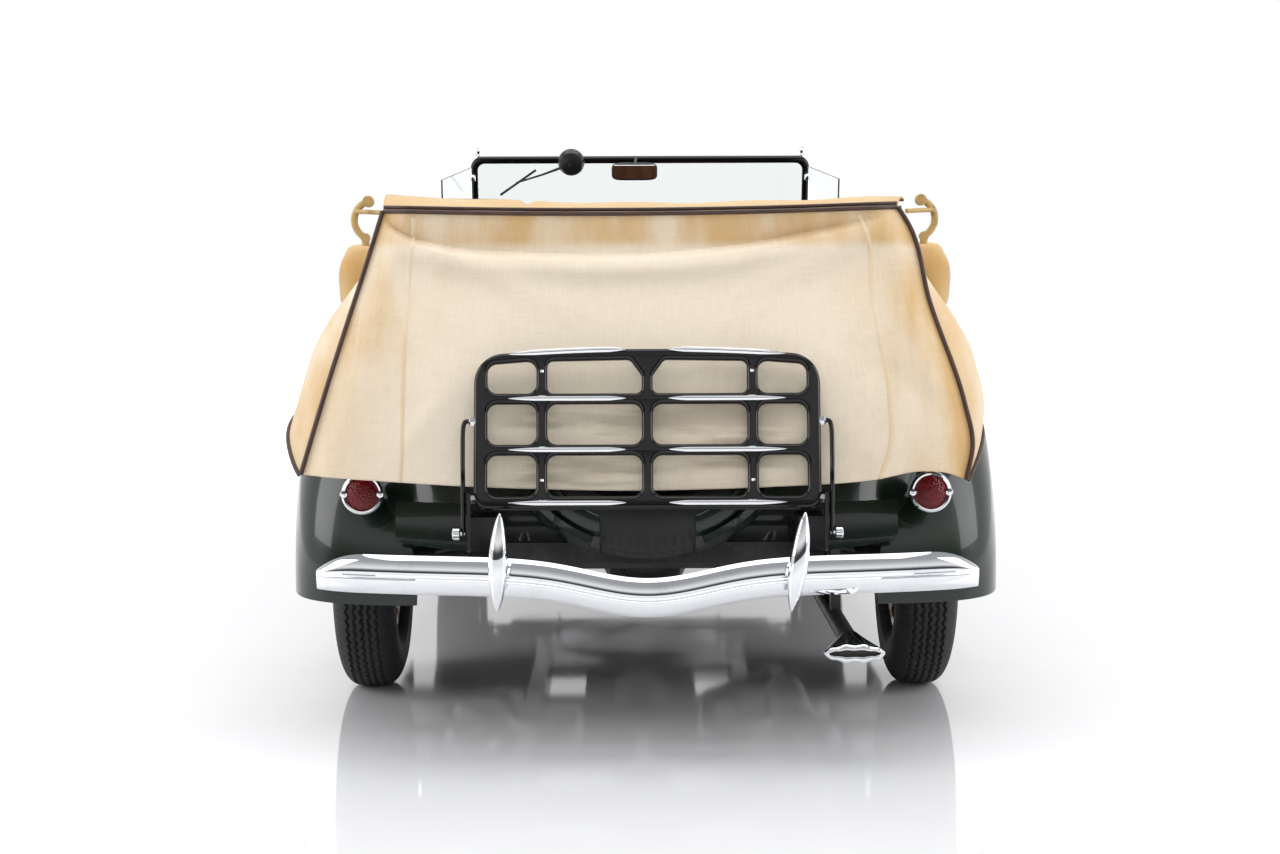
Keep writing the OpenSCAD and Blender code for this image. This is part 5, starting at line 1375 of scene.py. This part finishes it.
def irons():
    """Hooked ends of the roof bows: a flat C-arm, its foot, a pivot boss and a rod to the roll."""
    arms = Shape()
    y = -398
    boss = (703, y, 1309)
    a = np.radians(np.linspace(-66, 75, 40))
    foot = points(711, y, np.linspace(1196, 1219, 8))
    arms.tube(points(690 + 49 * np.cos(a), y, 1262 + 49 * np.sin(a)), 9, 12, up=(0, 1, 0), flat=0.75)
    arms.tube(foot, 10, 12, up=(0, 1, 0), flat=0.75)
    arms.turned([(0, -9), (14, -9), (15, -6), (15, 6), (14, 9), (0, 10)], boss, (0, 1, 0), 24)
    arms.turned([(0, -10), (7, -10), (7, 11), (4, 13), (0, 13)], boss, (0, 1, 0), 16)
    arms.turned([(0, -8), (12, -8), (12, 8), (0, 8)], (711, y, 1217), (0, 1, 0), 20)
    arms.tube(np.array([(738, y, 1284), (700, -416, 1282), (662, -435, 1280)]), 6, 12)
    arms.both_sides().make("bow_hooks", TAN_IRON, slot="top_irons", stands_for=["top_irons"])


# Windshield

def shield_place(p):
    """From the windshield's own plane (across, back, up from its pivots) to the car."""
    c, s = math.cos(SHIELD_LEAN), math.sin(SHIELD_LEAN)
    return points(p[..., 0], SHIELD_Y + p[..., 1] * c - p[..., 2] * s,
                  SHIELD_Z + p[..., 1] * s + p[..., 2] * c)


def stood_up(p):
    """From a flat plate's plane (across, height, depth to the rear) to the windshield in the car."""
    return shield_place(points(p[..., 0], -p[..., 2], p[..., 1]))


def rectangle(width, height, low):
    """Corners of a rectangle that stands on a level, from its lower left."""
    return [(-width / 2, low), (width / 2, low), (width / 2, low + height), (-width / 2, low + height)]


def windshield():
    """Painted frame, corner studs and clamps, wiper motor with its arm, and mirror."""
    outlines = [rounded(rectangle(1146, 350, -30), 40, 10), rounded(rectangle(1098, 302, -6), 24, 10)]
    plate = flat_plate("shield_frame", outlines, 22, 9, stood_up)
    dress(plate, GLOSS_BLACK, "windshield", ["windshield_frame"], 50)
    dark = Shape()
    dark.turned([(0, 0), (36, 0), (43, 6), (45, 16), (44, 30), (36, 41), (20, 46), (0, 47)],
                (-232, -9, 306), (0, -1, 0), 40)
    dark.tube(np.array([(-232, -52, 300), (-262, -44, 292), (-330, -22, 262), (-420, -14, 232)]),
              [6, 5, 3.5, 3], 10)
    dark.tube(np.array([(-352, -13, 276), (-474, -13, 190)]), 4, 8)
    dark.tube(np.array([(-14, -11, 312), (-16, -40, 306), (-18, -58, 290)]), [7, 5, 6], 12)
    dark.pad((-96, -74, 252), (58, -58, 312), 5, 16, 40)
    dark.moved(shield_place).make("wiper_and_mirror", FRAME_BLACK, "windshield", "black_paint")
    face = Shape().block((-88, -76, 258), (50, -73, 306), 1.2).moved(shield_place)
    face.make("mirror_face", MIRROR, "windshield", "bright_trim")
    bright = Shape()
    for z in (72, 252):
        bright.pad((555, -42, z - 14), (582, -8, z + 14), 3, 12, 24)
    bright.turned([(0, 0), (8, 0), (8, 6), (5, 10), (7, 16), (9, 22), (6, 29), (0, 31)], (548, 0, 318),
                  (0, 0, 1), 20)
    bright.turned([(0, 0), (17, 0), (17, 7), (11, 12), (0, 13)], (573, 0, 0), (1, 0, 0), 28)
    bright.both_sides().moved(shield_place).make("shield_fittings", CHROME, "windshield", "bright_trim")


# Cabin: seats, steering wheel, board and floor

VOXEL = 0.012
CLOTH_FRAMES = 14
CLOTH_PRESSURE = 4.0


def worked_in(obj):
    """Replaces an object's mesh by the one its modifiers make, and drops them."""
    bpy.context.view_layer.update()
    mesh = bpy.data.meshes.new_from_object(obj.evaluated_get(bpy.context.evaluated_depsgraph_get()))
    obj.modifiers.clear()
    obj.data = mesh
    return mesh


def relaxed(obj, cap):
    """Cloth swelling: a voxel copy of a closed shape is blown up a little and pulls in between its corners;
    no point moves further than the cap. A finer copy of the result is left."""
    remesh = obj.modifiers.new("voxels", "REMESH")
    remesh.mode = "VOXEL"
    remesh.voxel_size = VOXEL
    mesh = worked_in(obj)
    start = read(mesh)
    moved = start
    cloth = obj.modifiers.new("cloth", "CLOTH")
    cloth.settings.use_pressure = True
    cloth.settings.uniform_pressure_force = CLOTH_PRESSURE
    cloth.settings.effector_weights.gravity = 0
    cloth.settings.quality = 4
    cloth.settings.mass = 0.4
    for step in range(1, CLOTH_FRAMES + 1):
        bpy.context.scene.frame_set(step)
    moved = read(obj.evaluated_get(bpy.context.evaluated_depsgraph_get()).to_mesh())
    obj.modifiers.clear()
    bpy.context.scene.frame_set(1)
    shift = moved - start
    far = np.linalg.norm(shift, axis=1, keepdims=True)
    write(mesh, start + shift * np.minimum(1, cap * MM / np.maximum(far, 1e-9)))
    smooth = obj.modifiers.new("rounding", "SUBSURF")
    smooth.levels = smooth.render_levels = 1
    return worked_in(obj)


SEAT_X = 548
PLEAT_STEP = 62
PLEAT_WIDTH = 11
PLEAT_DEPTH = 13
CUSHION_BORDER = 45


def cushion(name, low, high, shear, pleat_axis, stands_for=()):
    """Bench cushion or back: swollen by cloth, then sewn into upright pleats, bell-curved furrows 62 mm
    apart that stop short of a plain border. shear leans the block; the pleats show on its top (pleat_axis
    2) or on its face (1)."""
    form = Shape().pad(low, high, 7.0, 40, 120).moved(shear)
    obj = form.make(name, LEATHER, slot="leather", stands_for=stands_for)
    mesh = relaxed(obj, 26)
    p = read(mesh) / MM - (0, REAR_AXLE_Y, 0)
    n = read(mesh, "normal")
    half = high[0] - 70
    lane = np.abs(np.mod(p[:, 0] / PLEAT_STEP + 0.5, 1) - 0.5) * PLEAT_STEP
    centre, reach = (np.asarray(low) + np.asarray(high)) / 2, (np.asarray(high) - np.asarray(low)) / 2
    other = 3 - pleat_axis
    away = np.abs(p[:, other] - centre[other])
    inside = ease((half - np.abs(p[:, 0])) / 20) * ease((reach[other] - CUSHION_BORDER - away) / 25)
    facing = ease((n[:, pleat_axis] - 0.45) / 0.3)
    depth = PLEAT_DEPTH * bump(lane, 0, PLEAT_WIDTH) * inside * facing
    edge = np.abs(np.maximum(np.abs(p[:, 0]) - half, away - reach[other] + CUSHION_BORDER))
    depth += 6 * bump(edge, 0, 6) * facing
    write(mesh, to_frame(p - n * depth[:, None]))
    mesh.shade_smooth()


def sheared(along, across, rate, level):
    """Change that moves points along one axis by a rate times their distance from a level on another."""
    def change(p):
        q = p.copy()
        q[..., along] += rate * (p[..., across] - level)
        return q
    return change


def seats():
    """Two pleated benches on plain boxed bases: cushions sloping up to the front and leaning backs."""
    cushion("front_cushion", (-SEAT_X, 732, 664), (SEAT_X, 1232, 815), sheared(2, 1, 0.085, 900), 2,
            ["front_seat"])
    cushion("front_back", (-SEAT_X, 640, 672), (SEAT_X, 712, 1166), sheared(1, 2, -0.10, 880), 1)
    cushion("rear_cushion", (-SEAT_X, -306, 664), (SEAT_X, 192, 822), sheared(2, 1, 0.085, -160), 2,
            ["rear_seat"])
    cushion("rear_back", (-505, -418, 676), (505, -338, 1160), sheared(1, 2, -0.22, 900), 1)
    base = Shape()
    for front_x, rear_x in ((-520, -525), (490, 495)):
        base.block((front_x, 660, 562), (front_x + 30, 1200, 668), 3)
        base.block((rear_x, -360, 562), (rear_x + 30, 160, 668), 3)
    base.block((-540, 1196, 566), (540, 1206, 668), 2).block((-530, 156, 566), (530, 166, 668), 2)
    base.block((-545, 622, 566), (545, 632, 690), 2)
    base.make("seat_bases", FRAME_BLACK, slot="black_paint")


COLUMN_TOP = np.array([-330.0, 1250.0, 1050.0])
COLUMN_AXIS = np.array([0.0, -498.0, 400.0]) / math.hypot(498, 400)


def steering_wheel():
    """Rim with finger grips, three groups of sprung wires, hub and horn button."""
    b, c, a = axes(COLUMN_AXIS)
    middle = COLUMN_TOP + 40 * a
    t = np.linspace(0, 2 * np.pi, 160, endpoint=False)
    rim = middle + 212 * (np.cos(t)[:, None] * b + np.sin(t)[:, None] * c)
    wheel = Shape().tube(rim, 12 + 0.9 * np.cos(48 * t), 18, up=a, loop=True)
    wheel.turned([(10, -34), (30, -34), (36, -20), (38, 0), (34, 8), (10, 9), (10, -34)], middle, a, 40)
    wheel.make("wheel_rim", FRAME_BLACK, "steering_wheel_body", "black_paint", ["steering_wheel"])
    wires = Shape()
    for turn in (math.pi / 2, math.pi * 7 / 6, math.pi * 11 / 6):
        for off in (-10, 0, 10):
            way = math.cos(turn) * b + math.sin(turn) * c
            cross = np.cross(a, way)
            wire = np.stack([middle + way * r + cross * off - 4 * a for r in (28, 90, 150, 206)])
            wires.tube(wire, 3, 10, up=a)
    wires.turned([(0, 16), (12, 15), (20, 11), (22, 6), (0, 6)], middle, a, 36)
    wires.make("wheel_wires", CHROME, "steering_wheel_body", "bright_trim")


# Place across and radius of each dial, and the places of the knobs below them.
DIALS = ((-330, 54), (-205, 36), (-120, 36), (0, 44))
DIAL_Y = 1516
DIAL_Z = 1022
KNOBS_X = (-420, -262, 82, 120, 158)


def instrument_board():
    """Turned dial rims, faces and knobs, marks and hands as thin rods, and the glove-box lid."""
    rims, faces, hands = Shape(), Shape(), Shape()
    for x, r in DIALS:
        at = np.array([x, DIAL_Y, DIAL_Z])
        rims.turned([(r - 4, 0), (r + 3, 0), (r + 4, 5), (r, 9), (r - 4, 7), (r - 4, 0)],
                    at, (0, -1, 0), 48)
        faces.turned([(0, 3), (r - 4, 3), (r - 4, 0), (0, 0)], at, (0, -1, 0), 40)
        for mark in np.radians(np.arange(-130, 131, 26)):
            way = np.array([math.sin(mark), 0, math.cos(mark)])
            hands.tube(at + (0, -3.6, 0) + np.outer((r * 0.68, r * 0.84), way), 0.9, 6, up=(0, 1, 0))
        pointer = at + (0, -4.6, 0) + np.outer((-r * 0.1, r * 0.7), (0.5, 0, 0.86))
        hands.tube(pointer, [1.6, 0.5], 8, up=(0, 1, 0))
    for x in KNOBS_X:
        rims.turned([(0, 0), (6, 0), (6, 14), (11, 16), (12, 21), (9, 25), (0, 26)], (x, 1517, 975),
                    (0, -1, 0), 20)
    rims.make("dial_rims", CHROME, slot="bright_trim")
    faces.make("dial_faces", DIAL_FACE, slot="bright_trim")
    hands.make("dial_hands", FRAME_BLACK, slot="black_paint")
    lid = Shape().pad((225, 1508, 968), (430, 1518, 1064), 8, 10, 60)
    lid.make("glove_lid", BODY_PAINT, slot="body_paint")


def pedals_and_levers():
    """Padded pedals on bent arms, a tapered gear lever with its turned knob, and a brake lever."""
    dark = Shape()
    for x in (-420, -300):
        dark.pad((x - 34, 1474, 640), (x + 34, 1488, 706), 5)
        dark.tube(np.array([(x, 1486, 672), (x + 6, 1560, 640), (x + 8, 1640, 590)]), 8, 12)
    dark.pad((-222, 1488, 610), (-184, 1500, 700), 4)
    reach = np.linspace(0, 1, 24)
    dark.tube(points(0, mix(1420, 1330, reach ** 1.4), mix(560, 905, reach)), mix(11, 7, reach), 14)
    dark.turned([(0, -18), (12, -14), (19, -2), (17, 10), (9, 17), (0, 19)], (0, 1328, 918), (0, 0, 1), 28)
    dark.tube(points(70, mix(1420, 1390, reach), mix(560, 800, reach)), 8, 12)
    dark.make("pedals_and_levers", FRAME_BLACK, slot="black_paint")


def floor_mats():
    """Rubber mats with forty cosine ribs, front and rear."""
    mats = Shape()
    for y0, y1, w in ((1222, 1500, 488), (216, 606, 520)):
        i, j = params(2, 200)
        ribs = 2.4 * (0.5 + 0.5 * np.cos(2 * np.pi * j * 40))
        mats.wall(points(mix(-w, w, j), mix(y0, y1, i), 563.5 + ribs), -1.2)
    mats.make("floor_mats", MAT_RUBBER, slot="tyre")


# Stage, light and camera

def shown(t):
    """1 for rays that show a thing to the eye, straight, mirrored or through glass, and 0 for the rest."""
    path = t.node("ShaderNodeLightPath").outputs
    seen = t.math("MAXIMUM", path["Is Camera Ray"], path["Is Glossy Ray"])
    return t.math("MAXIMUM", seen, path["Is Transmission Ray"])


FLOOR_REACH = 40.0


def studio_floor():
    """Pale polished floor with faint wear, brighter away from the car for the rays that show it."""
    size = FLOOR_REACH
    mesh = bpy.data.meshes.new("floor")
    mesh.from_pydata([(-size, -size, 0), (size, -size, 0), (size, size, 0), (-size, size, 0)], [],
                     [(0, 1, 2, 3)])
    floor = bpy.data.objects.new("floor", mesh)
    bpy.context.scene.collection.objects.link(floor)
    material, t, main, where = shader("floor_paint", Specular_IOR_Level=0.5)
    worn = t.group(BLOTCHES, Vector=where["Object"], Scale=0.9, Low=0.4, High=0.7).outputs["Mask"]
    t.feed(t.blend(worn, (0.90, 0.90, 0.91, 1), (0.87, 0.87, 0.88, 1)), main.inputs["Base Color"])
    t.feed(t.ramp(worn, 0, 1, 0.05, 0.10), main.inputs["Roughness"])
    away = t.node("ShaderNodeVectorMath", {"operation": "LENGTH"}, _0=where["Object"]).outputs["Value"]
    glow = t.math("MULTIPLY", t.ramp(away, 1.4, 8.5), shown(t))
    t.feed(t.blend(glow, (0, 0, 0, 1), (0.75, 0.75, 0.75, 1)), main.inputs["Emission Color"])
    main.inputs["Emission Strength"].default_value = 1.0
    mesh.materials.append(material)


def studio_walls():
    """World: a plain grey room that gives the light, white walls with a dark end behind the camera for
    mirrored and glass rays, and plain white for the camera."""
    world = bpy.data.worlds.new("studio")
    bpy.context.scene.world = world
    world.use_nodes = True
    t = Tree(world.node_tree)
    back = world.node_tree.nodes["Background"]
    way = t.node("ShaderNodeSeparateXYZ", Vector=t.node("ShaderNodeTexCoord").outputs["Generated"]).outputs
    up = t.ramp(way["Z"], 0.3, 0.8)
    room = t.blend(up, (0.74, 0.75, 0.76, 1), (0.42, 0.43, 0.45, 1))
    walls = t.blend(up, (1, 1, 1, 1), (0.42, 0.43, 0.45, 1))
    dark_end = t.math("MULTIPLY", t.ramp(way["Z"], 0.34, 0.10), t.ramp(way["Y"], -0.25, -0.6))
    walls = t.blend(dark_end, walls, (0.06, 0.065, 0.07, 1))
    colour = t.blend(shown(t), room, walls)
    seen = t.node("ShaderNodeLightPath").outputs["Is Camera Ray"]
    t.feed(t.blend(seen, colour, (1, 1, 1, 1)), back.inputs["Color"])
    back.inputs["Strength"].default_value = 1.0


# Name, place, aim, width, height and watts
SOFT_BOXES = [("overhead", (0, -0.5, 5.2), (0, 0, 0.6), 6.0, 7.0, 255),
              ("left_box", (-5.5, -3.0, 3.2), (0, -0.6, 0.8), 3.0, 4.0, 140),
              ("right_box", (5.5, -3.0, 3.0), (0, -0.6, 0.8), 3.0, 4.0, 130)]


def soft_boxes():
    """Area lamps above and at both sides, each turned to its aim."""
    for name, spot, aim, width, height, watts in SOFT_BOXES:
        lamp = bpy.data.lights.new(name, "AREA")
        lamp.shape = "RECTANGLE"
        lamp.size = width
        lamp.size_y = height
        lamp.energy = watts
        obj = bpy.data.objects.new(name, lamp)
        bpy.context.scene.collection.objects.link(obj)
        obj.location = spot
        obj.rotation_euler = (Vector(aim) - Vector(spot)).to_track_quat("-Z", "Y").to_euler()


FOCAL_PX = 2313.0
FRAME_W = 1280.0
CAMERA_AT = (-47.0, -6310.0, 1143.0)
CAMERA_TURN = (-0.32, -3.98, -0.20)


def camera():
    """Camera of the picture: yaw, pitch and roll in degrees, focal length in pixels of its frame."""
    lens = bpy.data.cameras.new("camera")
    lens.sensor_width = 36.0
    lens.lens = FOCAL_PX / FRAME_W * lens.sensor_width
    obj = bpy.data.objects.new("camera", lens)
    bpy.context.scene.collection.objects.link(obj)
    yaw, pitch, roll = (math.radians(a) for a in CAMERA_TURN)
    turn = (Matrix.Rotation(yaw, 4, "Z") @ Matrix.Rotation(math.pi / 2 + pitch, 4, "X")
            @ Matrix.Rotation(roll, 4, "Z"))
    x, y, z = CAMERA_AT
    obj.matrix_world = Matrix.Translation((x * MM, (y + REAR_AXLE_Y) * MM, z * MM)) @ turn
    bpy.context.scene.camera = obj


def paint_nodes():
    """Finish for every CAD node that still shows, by the record's material slot."""
    by_slot = {"body_paint": BODY_PAINT, "black_paint": FRAME_BLACK, "rack_black": GLOSS_BLACK,
               "iron": IRON, "bright_trim": CHROME, "tyre": RUBBER, "canvas": ROLL_CANVAS,
               "top_irons": TAN_IRON, "leather": LEATHER, "clear_glass": CLEAR_GLASS,
               "lamp_glass": LAMP_GLASS, "red_glass": RED_GLASS, "wheel_paint": WHEEL_PAINT}
    for part in frame["record"]["subparts"]:
        mesh = NODES[part["node"]].data
        mesh.materials.clear()
        mesh.materials.append(by_slot[part["material_slot"]])


# The car, its room and the camera

rear_cover()
tail_body()
for hand in (-1, 1):
    door("front", hand, *FRONT_DOOR, FRONT_PIN, -1)
    door("rear", hand, *REAR_DOOR, REAR_PIN, 1)
    hood(hand)
cowl()
nose()
lower_panels()
front_fenders()
rear_fenders()
headlamps()
tail_lamps()
boards()
rack_grid()
rack_fittings()
blade("rear_blade", 770, 120, 48, -1082, -1, "rear_bumper")
blade("front_blade", 790, 90, 40, 3487, 1, "front_bumper")
guards("rear_guards", -1105, 473, 226, -1, (2, 8))
guards("front_guards", 3510, 457, 230, 1, (0, 0))
wheels()
spare_cover()
exhaust_tip()
roof_stack()
side_rolls()
irons()
windshield()
seats()
steering_wheel()
instrument_board()
pedals_and_levers()
floor_mats()
paint_nodes()
studio_floor()
studio_walls()
soft_boxes()
camera()
bpy.context.scene.view_settings.view_transform = "Standard"
